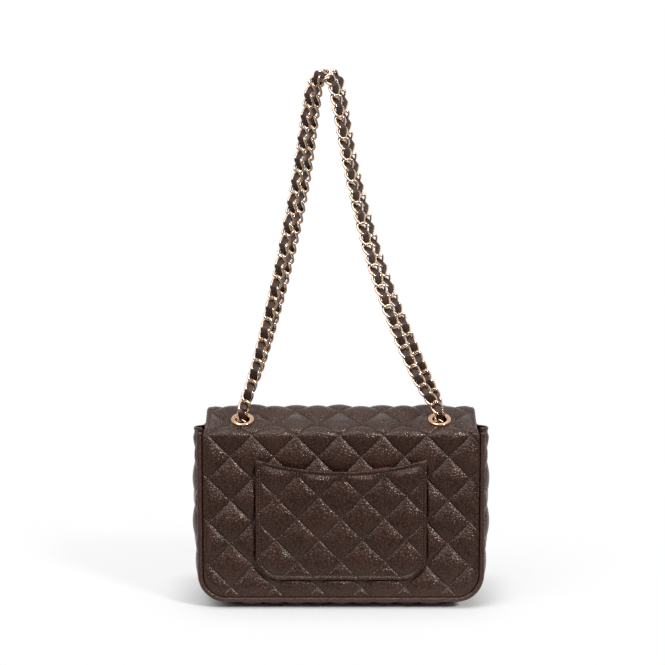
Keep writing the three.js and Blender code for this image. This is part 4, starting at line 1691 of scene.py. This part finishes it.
@dataclass
class Linings:
    """The lining bag and the flap's lining sheet."""

    line: ShellLine
    eyelets: EyeletRow
    gusset: Gusset
    half: float = 119.0
    back: float = -32.8
    front: float = 30.9
    foot: float = 11.8
    top: float = 151.0
    rim: float = 2.0
    radius: float = 19.2
    corner: float = 7.0
    wall: float = 1.0
    foot_rings: tuple[float, ...] = (0.0, 0.6, 2.0, 4.5, 8.0, 12.5, 18.0)
    wall_from: float = 26.0
    wall_rings: int = 40
    rim_rings: tuple[float, ...] = (0.35, 1.0, 1.5)
    ring_points: int = 240
    rim_reach: float = 9.0
    sag: float = 0.012
    slack: Unevenness = Unevenness(21, 28.0)
    flap_half: float = 115.5
    flap_depth: float = 4.3
    flap_wall: float = 1.0
    flap_start: float = -27.5
    flap_short: float = 7.0
    flap_cells: tuple[int, int] = (110, 140)
    flap_soft: float = 0.12
    flap_slack: Unevenness = Unevenness(31, 22.0)
    eyelet_hole: float = 7.8
    window_wider: float = 0.6

    def bag_rings(self, inset: float) -> Array:
        """Level rings of the lining bag's wall.

        Args:
            inset: How far inside the outer face the rings lie.

        Returns:
            Rings of points, from the bottom up.
        """
        rings = []
        low, high = self.foot + inset + np.array(self.foot_rings), self.top + np.array(self.rim_rings)
        wall = np.linspace(self.foot + self.wall_from, self.top, self.wall_rings)
        for z in np.concatenate([low, wall, high]):
            rise = np.clip(self.radius - (z - self.foot - inset), 0, self.radius)
            half = self.half - inset - self.radius + math.sqrt(max(self.radius**2 - rise**2, 0))
            flare = self.rim * (z > self.top)
            deep = (self.front - self.back) / 2 - inset + flare
            places = []
            for quarter in range(4):
                turn = np.linspace(0, np.pi / 2, 9) + quarter * np.pi / 2
                middle = np.sign([np.cos(turn[4]), np.sin(turn[4])]) * (np.array([half, deep]) - self.corner)
                places.append(middle + self.corner * np.stack([np.cos(turn), np.sin(turn)], 1))
            outline = np.concatenate(places + [places[0][:1]])
            length = lengths_along(outline)
            even = np.linspace(0, length[-1], self.ring_points, endpoint=False)
            x, y = read_along(even, length, outline).T
            sag = self.slack.at(even, np.full_like(even, z)) * (z - self.foot) / (self.top - self.foot)
            y = y * (1 - self.sag * np.abs(sag)) + (self.back + self.front) / 2
            if flare:
                end = smoothstep(np.abs(x), half - self.rim_reach, half)
                x = x + np.sign(x) * self.gusset.mouth_reach(y) * end
            rings.append(np.stack([x, y, np.full_like(x, z)], 1))
        return np.array(rings)

    def build(self, finishes: Finishes) -> list[Piece]:
        """Make both linings.

        Args:
            finishes: The bag's finishes.

        Returns:
            The lining bag and the flap's lining.
        """
        mesh = PieceMesh()
        outer, inner = self.bag_rings(0.0), self.bag_rings(self.wall)
        rings = np.concatenate([outer, inner[::-1]])
        # Painted shade: the outer face, against the bag's walls, is darker (tone 0.4) than the inner face.
        tone = np.concatenate([np.full(outer.shape[:2], 0.4), np.full(inner.shape[:2], 1.0)])
        mesh.add_grid(rings, tone=tone, ring=True, caps=True)
        return [mesh.build("lining_bag", [finishes.lining]), self.flap_sheet(finishes)]

    def flap_sheet(self, finishes: Finishes) -> Piece:
        """The lining sheet under the roof and behind the flap's front.

        Args:
            finishes: The bag's finishes.

        Returns:
            The piece.
        """
        start, end = self.line.roof_length(self.flap_start), self.line.end - self.flap_short
        rows = np.linspace(start, end, self.flap_cells[0])
        columns = np.linspace(-self.flap_half, self.flap_half, self.flap_cells[1])
        along, across = np.meshgrid(rows, columns, indexing="ij")
        depth = self.flap_depth + self.flap_soft * self.flap_slack.at(across, along)
        faces = [self.line.offset(across, along, -depth - wall) for wall in (0.0, self.flap_wall)]
        middles = cell_middles(across, along)
        keep = self.eyelets.away(*middles) > self.eyelet_hole
        keep &= self.line.outside_window(*middles, self.window_wider)
        mesh = PieceMesh()
        mesh.add_slab(faces[1], faces[0], keep)
        return mesh.build("flap_lining_sheet", [finishes.lining])

    def dress(self, pieces: Sequence[Piece]) -> None:
        """Fix the lining bag in the body and the sheet under the flap."""
        put(pieces[0], Body.BAG, Slot.LINING, "lining")
        put(pieces[1], Body.FLAP, Slot.LINING, "flap_lining")


@dataclass
class Eyelets:
    """The four rolled eyelets and their washers."""

    row: EyeletRow
    segments: int = 56
    bore: float = 6.0
    crown_middle: Span = (8.05, 0.2)
    crown_half: Span = (2.05, 1.6)

    def lathe(self, profile: Sequence[Span], x: float, y: float) -> Array:
        """Turn a closed profile about an eyelet's axis.

        Args:
            profile: Radius and height over the leather.
            x: Eyelet's place from side to side.
            y: Eyelet's place from back to front.

        Returns:
            Rings of points round the axis.
        """
        point, normal = self.row.frame(x, y)
        ahead = np.cross(normal, [1.0, 0.0, 0.0])
        angle = 2 * np.pi * np.arange(self.segments) / self.segments
        radial = np.cos(angle)[:, None] * np.array([1.0, 0, 0]) + np.sin(angle)[:, None] * ahead
        shape = np.array(profile)
        return point + radial[:, None] * shape[None, :, :1] + normal * shape[None, :, 1:]

    def build(self, finishes: Finishes) -> list[tuple[str, Piece, Piece]]:
        """Make eyelets and washers.

        Args:
            finishes: The bag's finishes.

        Returns:
            Name, eyelet and washer for each place.
        """
        turn = np.linspace(np.pi, 0, 11)
        crown = self.crown_middle + np.stack([np.cos(turn), np.sin(turn)], 1) * self.crown_half
        profile = [(self.bore, -7.2), *crown, (9.7, 0.12), (6.7, 0.12), (6.7, -6.6), (7.9, -6.6), (8.2, -6.9),
                   (7.8, -7.35), (6.5, -7.45)]
        rim = [(6.95, -6.3), (9.3, -6.3), (9.6, -6.1), (9.6, -5.8), (9.3, -5.65), (6.95, -5.65)]
        made = []
        for name, x, y in self.row.places():
            parts = []
            for title, shape in ((f"rolled_eyelet_{name}", profile), (f"eyelet_ring_{name}", rim)):
                mesh = PieceMesh()
                mesh.add_loop(self.lathe(shape, x, y))
                parts.append(mesh.build(title, [finishes.metal]))
            made.append((name, *parts))
        return made

    def dress(self, made: Sequence[tuple[str, Piece, Piece]]) -> None:
        """Fix the eyelets and washers in the flap."""
        for name, eyelet, washer in made:
            put(eyelet, Body.FLAP, Slot.METAL, f"eyelet_{name}")
            put(washer, Body.FLAP, Slot.METAL, f"eyelet_washer_{name}")


@dataclass
class TurnLock:
    """Turn lock: base and washer on the front panel, slotted plate and clamp on the flap, turning bar."""

    height: float = 74.7
    face: float = 43.6
    panel: float = 36.5
    plate: Span = (20.0, 14.0)
    plate_radius: float = 12.8
    plate_thick: float = 1.6
    plate_bevel: float = 0.7
    slot: Span = (10.3, 5.9)
    slot_radius: float = 4.0
    slot_drop: float = -2.7
    clamp: Span = (16.0, 14.7)
    clamp_radius: float = 8.0
    clamp_y: Span = (36.9, 37.7)
    clamp_bevel: float = 0.25
    clamp_window: Span = (12.0, 10.7)
    clamp_drop: float = -1.75
    bar: Span = (9.5, 2.75)
    bar_radius: float = 2.6
    bar_gap: float = 2.2
    washer_y: float = 32.2
    rivet_y: float = 31.2

    def outline(self, half: Span, radius: float, drop: float, count: int = 72) -> Array:
        """A rounded rectangle round the lock's axis.

        Args:
            half: Half width and half height.
            radius: Corner radius.
            drop: How far its middle lies above the axis.
            count: Number of points.

        Returns:
            Points as x and z.
        """
        turn = 2 * np.pi * (np.arange(count) + 0.5) / count
        x = np.clip(1.6 * np.cos(turn), -1, 1) * (half[0] - radius) + radius * np.cos(turn)
        z = np.clip(1.6 * np.sin(turn), -1, 1) * (half[1] - radius) + radius * np.sin(turn)
        return np.stack([x, z + self.height + drop], 1)

    def loft(self, levels: Sequence[tuple[Array, float]]) -> Array:
        """Rings of points from outlines, each at its own y."""
        return np.array([np.stack([o[:, 0], np.full(len(o), y), o[:, 1]], 1) for o, y in levels])

    def frame_plate(self, half: Span, radius: float, hole: Array, low: float, high: float,
                    bevel: float, drop: float) -> PieceMesh:
        """A plate with rounded rims and a hole.

        Args:
            half: Half width and half height of the plate.
            radius: Corner radius.
            hole: Outline of the hole.
            low: Lower y.
            high: Higher y.
            bevel: Size of the rounded rims.
            drop: Height of the plate's middle over the axis.

        Returns:
            The mesh.
        """
        def outer(inset: float) -> Array:
            """The plate's outline, drawn in by an inset."""
            return self.outline((half[0] - inset, half[1] - inset), radius - inset, drop)

        centre = hole.mean(0)
        wider = centre + (hole - centre) * (1 + bevel / np.linalg.norm(hole - centre, axis=1, keepdims=True))
        levels = [(outer(0), low), (outer(0), high - bevel), (outer(bevel * 0.3), high - bevel * 0.3),
                  (outer(bevel), high), (wider, high), (hole, high - bevel * 0.7), (hole, low)]
        mesh = PieceMesh()
        mesh.add_loop(self.loft(levels))
        return mesh

    def turned(self, profile: Sequence[Span], count: int = 40) -> Array:
        """Rings about the lock's axis from radius and y."""
        angle = 2 * np.pi * np.arange(count) / count
        rings = [np.stack([r * np.cos(angle), np.full(count, y), self.height + r * np.sin(angle)], 1)
                 for r, y in profile]
        return np.array(rings)

    def build(self, finishes: Finishes) -> dict[str, Piece]:
        """Make the lock's five pieces.

        Args:
            finishes: The bag's finishes.

        Returns:
            Pieces by the frame node that each stands for.
        """
        made = {}
        hole = self.outline(self.slot, self.slot_radius, self.slot_drop)
        plate = self.frame_plate(self.plate, self.plate_radius, hole, self.face, self.face + self.plate_thick,
                                 self.plate_bevel, self.slot_drop)
        made["lock_plate"] = plate.build("lock_slot_plate", [finishes.metal])
        window = self.outline(self.clamp_window, self.slot_radius, self.clamp_drop)
        clamp = self.frame_plate(self.clamp, self.clamp_radius, window, *self.clamp_y, self.clamp_bevel,
                                 self.clamp_drop)
        made["lock_plate_clamp"] = clamp.build("lock_clamp_plate", [finishes.metal])
        foot = [(2.8, 0.3), (8.2, 0.3), (8.5, 0.6), (8.2, 0.95), (7.2, 1.1), (3.9, 1.1), (3.6, 1.5),
                (3.6, 3.7), (3.3, 4.0), (2.8, 4.0)]
        washer = [(2.8, 0.0), (7.7, 0.0), (8.0, 0.25), (8.0, 0.75), (7.7, 1.0), (2.8, 1.0)]
        for node, name, profile, y in (("lock_base", "lock_foot", foot, self.panel),
                                       ("lock_washer", "lock_back_washer", washer, self.washer_y)):
            mesh = PieceMesh()
            mesh.add_loop(self.turned([(radius, y + rise) for radius, rise in profile]))
            made[node] = mesh.build(name, [finishes.metal])
        made["lock_bar"] = self.build_bar(finishes)
        return made

    def build_bar(self, finishes: Finishes) -> Piece:
        """The turning bar with its stem and rivet head.

        Args:
            finishes: The bag's finishes.

        Returns:
            The piece.
        """
        bar = PieceMesh()
        low = self.face + self.bar_gap
        rounding = ((0.9, 0.0), (0.25, 0.15), (0.0, 0.6), (0.0, 1.6), (0.25, 2.4), (0.9, 2.85), (1.8, 3.0))
        levels = []
        for inset, rise in rounding:
            half = (self.bar[0] - inset, self.bar[1] - inset)
            levels.append((self.outline(half, self.bar_radius - inset, 0.0), low + rise))
        grip = self.loft(levels)
        end = self.rivet_y
        stem = self.turned([(0.5, end), (3.4, end), (4.0, end + 0.3), (4.0, end + 0.7), (2.5, end + 0.7),
                            (2.5, low + 0.8), (0.5, low + 0.8)])
        for rings in (grip, stem):
            bar.add_grid(rings, ring=True, caps=True)
        return bar.build("lock_turning_bar", [finishes.metal])

    def dress(self, made: dict[str, Piece]) -> None:
        """Fix each piece to the body of its node."""
        bodies = {"lock_bar": Body.LOCK, "lock_base": Body.BAG, "lock_washer": Body.BAG}
        for node, piece in made.items():
            put(piece, bodies.get(node, Body.FLAP), Slot.METAL, node)


def spline(points: Sequence[Sequence[float]], per_span: int = 60) -> Array:
    """A smooth line through points that keeps close to them where they crowd.

    Args:
        points: Points to pass through.
        per_span: Samples between two points.

    Returns:
        Samples along the line.
    """
    control = np.array(points, float)
    control = np.concatenate([[2 * control[0] - control[1]], control, [2 * control[-1] - control[-2]]])
    samples = []
    for a, b, c, d in zip(control[:-3], control[1:-2], control[2:-1], control[3:]):
        gaps = [math.sqrt(np.linalg.norm(q - p)) for p, q in ((a, b), (b, c), (c, d))]
        first = ((b - a) / gaps[0] - (c - a) / (gaps[0] + gaps[1]) + (c - b) / gaps[1]) * gaps[1]
        second = ((c - b) / gaps[1] - (d - b) / (gaps[1] + gaps[2]) + (d - c) / gaps[2]) * gaps[1]
        t = np.linspace(0, 1, per_span, endpoint=False)[:, None]
        samples.append((2 * t**3 - 3 * t**2 + 1) * b + (t**3 - 2 * t**2 + t) * first
                       + (3 * t**2 - 2 * t**3) * c + (t**3 - t**2) * second)
    return np.concatenate(samples + [control[-2:-1]])


@dataclass
class ChainRoute:
    """Junctions between links, and each link's middle and own axes."""

    junctions: Array
    along: Array = field(init=False)
    across: Array = field(init=False)
    out: Array = field(init=False)

    def face(self, facing: Array) -> "ChainRoute":
        """Turn each link's flat side towards a direction.

        Args:
            facing: One direction for each link.

        Returns:
            This route.
        """
        self.along = unit(np.diff(self.junctions, axis=0))
        self.out = unit(facing - self.along * np.sum(facing * self.along, 1, keepdims=True))
        self.across = np.cross(self.out, self.along)
        return self

    @property
    def middle(self) -> Array:
        """Middles of the links."""
        return (self.junctions[1:] + self.junctions[:-1]) / 2


@dataclass
class LacedChain:
    """Curb chain of twisted oval links with a leather lace woven through."""

    wire: float = 1.2
    flatness: float = 0.86
    link_half: float = 4.0
    overlap: float = 0.95
    oval: Span = (0.92, 0.86)
    twist: float = -2.2
    steps: int = 36
    sides: int = 12
    lace_half: float = 3.15
    lace_thick: float = 0.8
    lace_lift: float = 2.55
    lace_bend: float = 1.5
    lace_swell: Span = (0.9, 1.06)
    lace_steps: int = 7
    lace_sides: int = 14

    def links(self, mesh: PieceMesh, route: ChainRoute, first: int, last: int) -> None:
        """Add twisted links to a mesh.

        Args:
            mesh: Mesh that takes the links.
            route: Route of the chain.
            first: Number of the first link.
            last: Number after the last link.
        """
        t = 2 * np.pi * np.arange(self.steps) / self.steps
        bow, wide = superellipse(t, *self.oval)
        lean = self.twist * np.sin(2 * t)
        lengths = np.linalg.norm(np.diff(route.junctions, axis=0), axis=1)
        angle = 2 * np.pi * np.arange(self.sides) / self.sides
        # Painted shade: the wire's inner and outer rims, in the link's own plane, get tone 0 and a dark
        # colour. Its faces keep full colour.
        painted_rim_tone = np.abs(np.sin(angle))
        for i in range(first, last):
            reach = lengths[i] / 2 + self.overlap
            axes = [route.along[i], route.across[i], route.out[i]]
            ring = route.middle[i] + np.outer(reach * bow, axes[0]) + np.outer(self.link_half * wide, axes[1])
            ring = ring + np.outer(lean, axes[2])
            ahead = unit(np.roll(ring, -1, 0) - np.roll(ring, 1, 0))
            up = unit(axes[2] - ahead * (ahead @ axes[2])[:, None])
            aside = np.cross(ahead, up)
            section = (aside[:, None] * np.cos(angle)[:, None] * self.wire
                       + up[:, None] * np.sin(angle)[:, None] * self.wire * self.flatness)
            mesh.add_loop(ring[:, None] + section, tone=np.tile(painted_rim_tone, self.steps))

    def lace_knots(self, route: ChainRoute, first: int, last: int, aside: float = 0.0,
                   ) -> tuple[Array, Array, Array]:
        """Points that the lace passes through, over one junction and under the next.

        Args:
            route: Route of the chain.
            first: Number of the lace's first link.
            last: Number after its last link.
            aside: How far the lace lies to one side over a junction.

        Returns:
            Points, width directions, and 1 where the lace lies over a junction or 0 inside a link.
        """
        points, sides, over = [route.middle[first]], [route.across[first]], [0.0]
        for i in range(first + 1, min(last + 1, len(route.along))):
            out = unit(route.out[i - 1] + route.out[i])
            face = 1.0 if i % 2 == 0 else -1.0
            bend = math.asin(max(0.0, float((route.along[i - 1] - route.along[i]) @ out) * face / 2))
            lift = face * (self.lace_lift / math.cos(bend) + self.lace_bend * math.tan(bend))
            side = unit(route.across[i - 1] + route.across[i])
            points += [route.junctions[i] + out * lift + side * aside, route.middle[i]]
            sides += [side, route.across[i]]
            over += [1.0, 0.0]
        return np.array(points), np.array(sides), np.array(over)

    def lace(self, mesh: PieceMesh, points: Array, sides: Array, over: Array) -> None:
        """Add the woven lace to a mesh.

        Args:
            mesh: Mesh that takes the lace.
            points: Points that it passes through.
            sides: Width direction at each point.
            over: 1 where it lies over a junction, 0 inside a link.
        """
        path = spline(points, self.lace_steps)
        where = np.arange(len(path)) / self.lace_steps
        knot = np.arange(len(points))
        share = np.interp(where, knot, over)
        slim, full = self.lace_swell
        width = self.lace_half * (slim + (full - slim) * smoothstep(share, 0, 1))
        grid = tube(path, read_along(where, knot, sides), width, self.lace_thick, self.lace_sides, 0.62)
        # Painted shade: the lace is darker where it runs inside a link, under the wires, than where it lies
        # over a junction.
        tone = np.repeat(0.35 + 0.65 * smoothstep(share, 0.1, 0.8), self.lace_sides)
        mesh.add_grid(grid, tone=tone, ring=True, caps=True)

    def run(self, names: tuple[str, str], route: ChainRoute, links: tuple[int, int],
            knots: Sequence[Array], finishes: Finishes) -> tuple[Piece, Piece]:
        """Make a run of chain and its lace.

        Args:
            names: Names of the chain and of the lace.
            route: Route of the chain.
            links: Number of the first link and number after the last.
            knots: Points, width directions and cover shares of the lace.
            finishes: The bag's finishes.

        Returns:
            The chain and the lace.
        """
        chain, strip = PieceMesh(), PieceMesh()
        self.links(chain, route, *links)
        self.lace(strip, *knots)
        return chain.build(names[0], [finishes.chain]), strip.build(names[1], [finishes.lace])


@dataclass
class StrapLoop:
    """One of the two strap loops, from its left eyelet over the apex to its right eyelet."""

    name: str
    body: Body
    row_y: float
    waypoints: Sequence[Sequence[float]]
    eyelets: EyeletRow
    chain: LacedChain = field(default_factory=LacedChain)
    count: int = 66
    stand: float = 8.5
    right_turn: float = math.radians(36)
    left_turn: float = math.radians(36)
    turn_up: Span = (0.0, 0.3)
    turn_down: Span = (0.76, 0.98)
    change_over: Span = (0.46, 0.54)
    lace_aside: Span = (0.8, -0.6)
    lace_foot: tuple[tuple[float, float, float], ...] = ((-5.0, 0.0, 0.0), (1.5, 0.0, 0.3), (7.0, 2.6, 0.9))
    lace_bend: float = 5.0

    def anchor(self, side: int) -> Array:
        """Where the chain stands up out of an eyelet, which is where the loop swings."""
        point, normal = self.eyelets.frame(side * self.eyelets.across, self.row_y)
        return point + normal * self.stand

    def route(self) -> ChainRoute:
        """Route of the links, whose flat sides turn between an eyelet and the apex and change over there.

        Returns:
            The route.
        """
        line = spline([self.anchor(-1), *self.waypoints, self.anchor(1)])
        route = ChainRoute(spread(line, self.count))
        along = unit(np.diff(route.junctions, axis=0))
        share = (np.arange(self.count) + 0.5) / self.count
        past = smoothstep(share, *self.change_over)
        turn = self.left_turn * smoothstep(share, *self.turn_up) * (1 - past)
        turn = turn + self.right_turn * (1 - smoothstep(share, *self.turn_down)) * past
        sine, cosine = np.sin(turn), np.cos(turn)
        facing = np.stack([-along[:, 2] * sine, -cosine, along[:, 0] * sine], 1)
        return route.face(facing)

    def foot(self, side: int) -> tuple[Array, Array, Array]:
        """Points that carry the lace from the swinging link down into the eyelet.

        Args:
            side: -1 for the left eyelet, 1 for the right.

        Returns:
            Points, width directions and cover shares, from the eyelet up.
        """
        point, normal = self.eyelets.frame(side * self.eyelets.across, self.row_y)
        up, back, over = np.array(self.lace_foot).T
        points = point + np.outer(up, normal) + np.outer(back, [0.0, -1.0, 0.0])
        return points, np.broadcast_to([1.0, 0.0, 0.0], points.shape), over

    def build(self, finishes: Finishes) -> list[tuple[str, Piece, Piece]]:
        """Make both runs of chain and lace.

        Args:
            finishes: The bag's finishes.

        Returns:
            Side, chain and lace of each run.
        """
        route = self.route()
        middle = self.count // 2
        made = []
        for (side, sign), links, aside in zip(SIDES, ((0, middle), (middle, self.count)), self.lace_aside):
            pairs = zip(self.foot(sign), self.chain.lace_knots(route, *links, aside))
            knots = [np.concatenate([low, high] if sign < 0 else [high, low[::-1]]) for low, high in pairs]
            names = (f"curb_chain_{self.name}_{side}", f"woven_lace_{self.name}_{side}")
            made.append((side, *self.chain.run(names, route, links, knots, finishes)))
        return made

    def dress(self, made: Sequence[tuple[str, Piece, Piece]]) -> None:
        """Let the chain swing as a whole, and bake the lace's place into its mesh."""
        for side, chain, lace in made:
            put(chain, self.body, Slot.METAL, f"chain_{self.name}_{side}")
            place = self.anchor(dict(SIDES)[side])
            start, end = (tuple((place + [0, 0, step]) * MM) for step in (-self.lace_bend, self.lace_bend))
            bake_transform(lace)
            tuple(start)
            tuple(end)
            label(lace, Slot.LACE, f"lace_{self.name}_{side}")


@dataclass
class ChainBridge:
    """The short laced chains under the flap, each from a back eyelet to a front eyelet."""

    eyelets: EyeletRow
    chain: LacedChain = field(default_factory=LacedChain)
    count: int = 9
    stand: float = 8.5
    drop: float = 9.0
    low: float = 147.0

    def route(self, side: int) -> ChainRoute:
        """Route of the links under one end of the flap.

        Args:
            side: -1 for the left end, 1 for the right.

        Returns:
            The route.
        """
        x = side * self.eyelets.across
        ends = [self.eyelets.frame(x, y) for y in (self.eyelets.back_y, self.eyelets.front_y)]
        tops = [point + normal * self.stand for point, normal in ends]
        under = [point - normal * self.drop for point, normal in ends]
        middle = np.array([x, (under[0][1] + under[1][1]) / 2, self.low])
        route = ChainRoute(spread(spline([tops[0], under[0], middle, under[1], tops[1]]), self.count))
        along = unit(np.diff(route.junctions, axis=0))
        return route.face(np.stack([np.zeros(self.count), -along[:, 2], along[:, 1]], 1))

    def build(self, finishes: Finishes) -> list[tuple[str, Piece, Piece]]:
        """Make both bridges.

        Args:
            finishes: The bag's finishes.

        Returns:
            Side, chain and lace of each bridge.
        """
        made = []
        for side, sign in SIDES:
            route = self.route(sign)
            knots = self.chain.lace_knots(route, 1, self.count - 1)
            names = (f"bridge_chain_{side}", f"bridge_lace_{side}")
            made.append((side, *self.chain.run(names, route, (0, self.count), knots, finishes)))
        return made

    def dress(self, made: Sequence[tuple[str, Piece, Piece]]) -> None:
        """Fix the bridges under the flap."""
        for side, chain, lace in made:
            put(chain, Body.FLAP, Slot.METAL, f"chain_bridge_{side}")
            put(lace, Body.FLAP, Slot.LACE, f"lace_bridge_{side}")


@dataclass(frozen=True)
class Lamp:
    """A soft lamp that lights floor and bag alike, by where its light comes from and its size in degrees."""

    name: str
    place: tuple[float, float, float]
    size: float
    strength: float

    def hang(self) -> None:
        """Add the lamp to the scene."""
        data = bpy.data.lights.new(self.name, "SUN")
        data.angle, data.energy = math.radians(self.size), self.strength
        lamp = bpy.data.objects.new(self.name, data)
        lamp.location = Vector(self.place)
        lamp.rotation_euler = (-Vector(self.place)).to_track_quat("-Z", "Y").to_euler()
        bpy.context.scene.collection.objects.link(lamp)


LAMPS = (Lamp("key_lamp", (0.58, -0.67, 0.55), 10, 2.1), Lamp("top_lamp", (-0.55, -0.72, 0.9), 40, 1.3),
         Lamp("overhead_lamp", (0.0, -0.1, 1.0), 60, 0.55))


@dataclass
class Studio:
    """White floor and background, soft lamps and the camera."""

    eye: tuple[float, float, float] = (-7.4, -1683.5, 475.1)
    aim: tuple[float, float, float] = (-7.4, 0.0, 238.5)
    lens: float = 105.46
    sky: float = 0.3
    front_sky: float = 0.24
    back_from: Span = (-0.6, 1.2)
    high_sky: float = 0.75
    high_from: Span = (-0.05, 0.6)
    floor_half: float = 9000.0
    floor_white: float = 0.92
    floor_bounce: float = 0.42
    front_floor: float = 0.24
    table_edge: Span = (-0.11, -0.04)
    footprint: tuple[float, float, float] = (0.112, 0.05, 1.0)
    shadow_near: Span = (0.0, 0.055)
    shadow_far: Span = (0.055, 0.45)
    shadow_fade: float = 0.76

    def build(self) -> None:
        """Make everything around the bag."""
        scene = bpy.context.scene
        scene.view_settings.view_transform = "Standard"
        self.camera(scene)
        self.floor()
        self.world(scene)
        for lamp in LAMPS:
            lamp.hang()

    def camera(self, scene: bpy.types.Scene) -> None:
        """Stand the camera where the photograph was taken from.

        Args:
            scene: The scene that takes it.
        """
        data = bpy.data.cameras.new("camera")
        data.lens, data.sensor_width, data.clip_end = self.lens, 36.0, 50.0
        camera = bpy.data.objects.new("camera", data)
        camera.location = Vector(self.eye) * MM
        ahead = Vector(self.aim) - Vector(self.eye)
        camera.rotation_euler = ahead.to_track_quat("-Z", "Y").to_euler()
        scene.collection.objects.link(camera)
        scene.camera = camera

    def floor(self) -> None:
        """Lay a wide pale floor that runs into the white background, darker in front for reflections only."""
        tree = Nodes.of_material("pale_floor")
        path = tree.add("LightPath").outputs
        seen = tree.math("MAXIMUM", path["Is Camera Ray"], path["Is Transmission Ray"])
        seen = tree.math("MAXIMUM", seen, path["Is Glossy Ray"])
        colour = tree.mix(seen, (self.floor_bounce,) * 3, (self.floor_white,) * 3)
        depth = tree.add("SeparateXYZ", Vector=tree.place).outputs["Y"]
        front = tree.math("MULTIPLY", path["Is Glossy Ray"], tree.ramp(depth, *self.table_edge, 1.0, 0.0))
        colour = tree.mix(front, colour, (self.front_floor,) * 3)
        material = tree.finish(Base_Color=colour, Roughness=0.9, Specular_IOR_Level=0.0)
        away = self.footprint_distance(tree)
        fade = tree.math("ADD", tree.ramp(away, *self.shadow_near, 0.0, self.shadow_fade),
                         tree.ramp(away, *self.shadow_far, 0.0, 1 - self.shadow_fade))
        far = tree.math("MULTIPLY", tree.math("SUBTRACT", seen, front), fade)
        white = tree.add("Emission", Color=WHITE, Strength=1.0)
        both = tree.blend(far, tree.tree.nodes["Principled BSDF"], white)
        tree.set(tree.tree.nodes["Material Output"].inputs[0], both.outputs[0])
        mesh = PieceMesh()
        side = np.linspace(-self.floor_half, self.floor_half, 7)
        x, y = np.meshgrid(side, side, indexing="ij")
        mesh.add_grid(np.stack([x, y, np.zeros_like(x)], -1))
        floor = mesh.build("floor", [material])
        if floor.data.polygons[0].normal.z < 0:
            floor.data.flip_normals()

    def footprint_distance(self, tree: Nodes) -> Socket:
        """Distance outside the bag's footprint in metres.

        Args:
            tree: The floor's node tree.

        Returns:
            The socket with the distance.
        """
        place = tree.place
        for operation, *other in (("ABSOLUTE",), ("SUBTRACT", self.footprint), ("MAXIMUM", (0, 0, 0))):
            place = tree.in_order("VectorMath", {"operation": operation}, place, *other).outputs["Vector"]
        return tree.in_order("VectorMath", {"operation": "LENGTH"}, place).outputs["Value"]

    def world(self, scene: bpy.types.Scene) -> None:
        """Give a soft even sky, white in the picture and, for reflections, darker in front of the bag.

        Args:
            scene: The scene that takes it.
        """
        scene.world = bpy.data.worlds.new("studio")
        tree = Nodes(scene.world)
        split = tree.add("SeparateXYZ", Vector=tree.add("TexCoord").outputs["Generated"]).outputs
        mirrored = tree.math("MAXIMUM", tree.ramp(split["Y"], *self.back_from, self.front_sky, 1.0),
                             tree.ramp(split["Z"], *self.high_from, 0.0, self.high_sky))
        path = tree.add("LightPath").outputs
        direct = tree.math("MAXIMUM", path["Is Camera Ray"], path["Is Transmission Ray"])
        shown = tree.tree.nodes["Background"]
        tree.set(shown.inputs["Color"], WHITE)
        tree.set(shown.inputs["Strength"], self.sky)
        for share, strength in ((path["Is Glossy Ray"], mirrored), (direct, 1.0)):
            shown = tree.blend(share, shown, tree.add("Background", Color=WHITE, Strength=strength))
        tree.set(tree.tree.nodes["World Output"].inputs[0], shown.outputs[0])


BACK_WAY = ((-77, -23.2, 198), (-58.4, -18.2, 271), (-39.4, -11.8, 364), (-26.2, -6.6, 447),
            (-23.2, -5.6, 457), (-15.6, -5.4, 462), (-8, -5.6, 457), (-5.2, -6.6, 447), (7.6, -10.9, 378),
            (31, -17, 288), (67.8, -23.1, 199))
FRONT_WAY = ((-75, 26.4, 198), (-53.4, 21, 271), (-32.4, 13, 364), (-20.6, 6.8, 448), (-18.4, 5.7, 459),
             (-10.8, 5.4, 464), (-3.2, 5.7, 459), (-0.4, 6.8, 448), (12.2, 11.8, 378), (38, 19, 288),
             (74, 26.2, 199))


def main() -> None:
    """Build the studio and every piece of the bag."""
    logging.basicConfig(level=logging.INFO, format="%(name)s %(message)s")
    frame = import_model()
    Studio().build()
    finishes = Finishes.make()
    line, pocket, gusset = ShellLine(), SlipPocket(), Gusset(SeamPath())
    row = EyeletRow(line)
    parts = [
        StrapLoop("back", Body.BACK_STRAP, row.back_y, BACK_WAY, row),
        StrapLoop("front", Body.FRONT_STRAP, row.front_y, FRONT_WAY, row, right_turn=math.radians(52)),
        ChainBridge(row),
        QuiltedShell(line, row, pocket),
        FrontPanel(),
        gusset,
        pocket,
        Boards(),
        Linings(line, row, gusset),
        Eyelets(row),
        TurnLock(),
    ]
    for part in parts:
        part.dress(part.build(finishes))
    base = frame["nodes"]["base_board"].data
    base.materials.clear()
    base.materials.append(finishes.board)
    LOG.info("base_board keeps its solid")


if __name__ == "__main__":
    main()
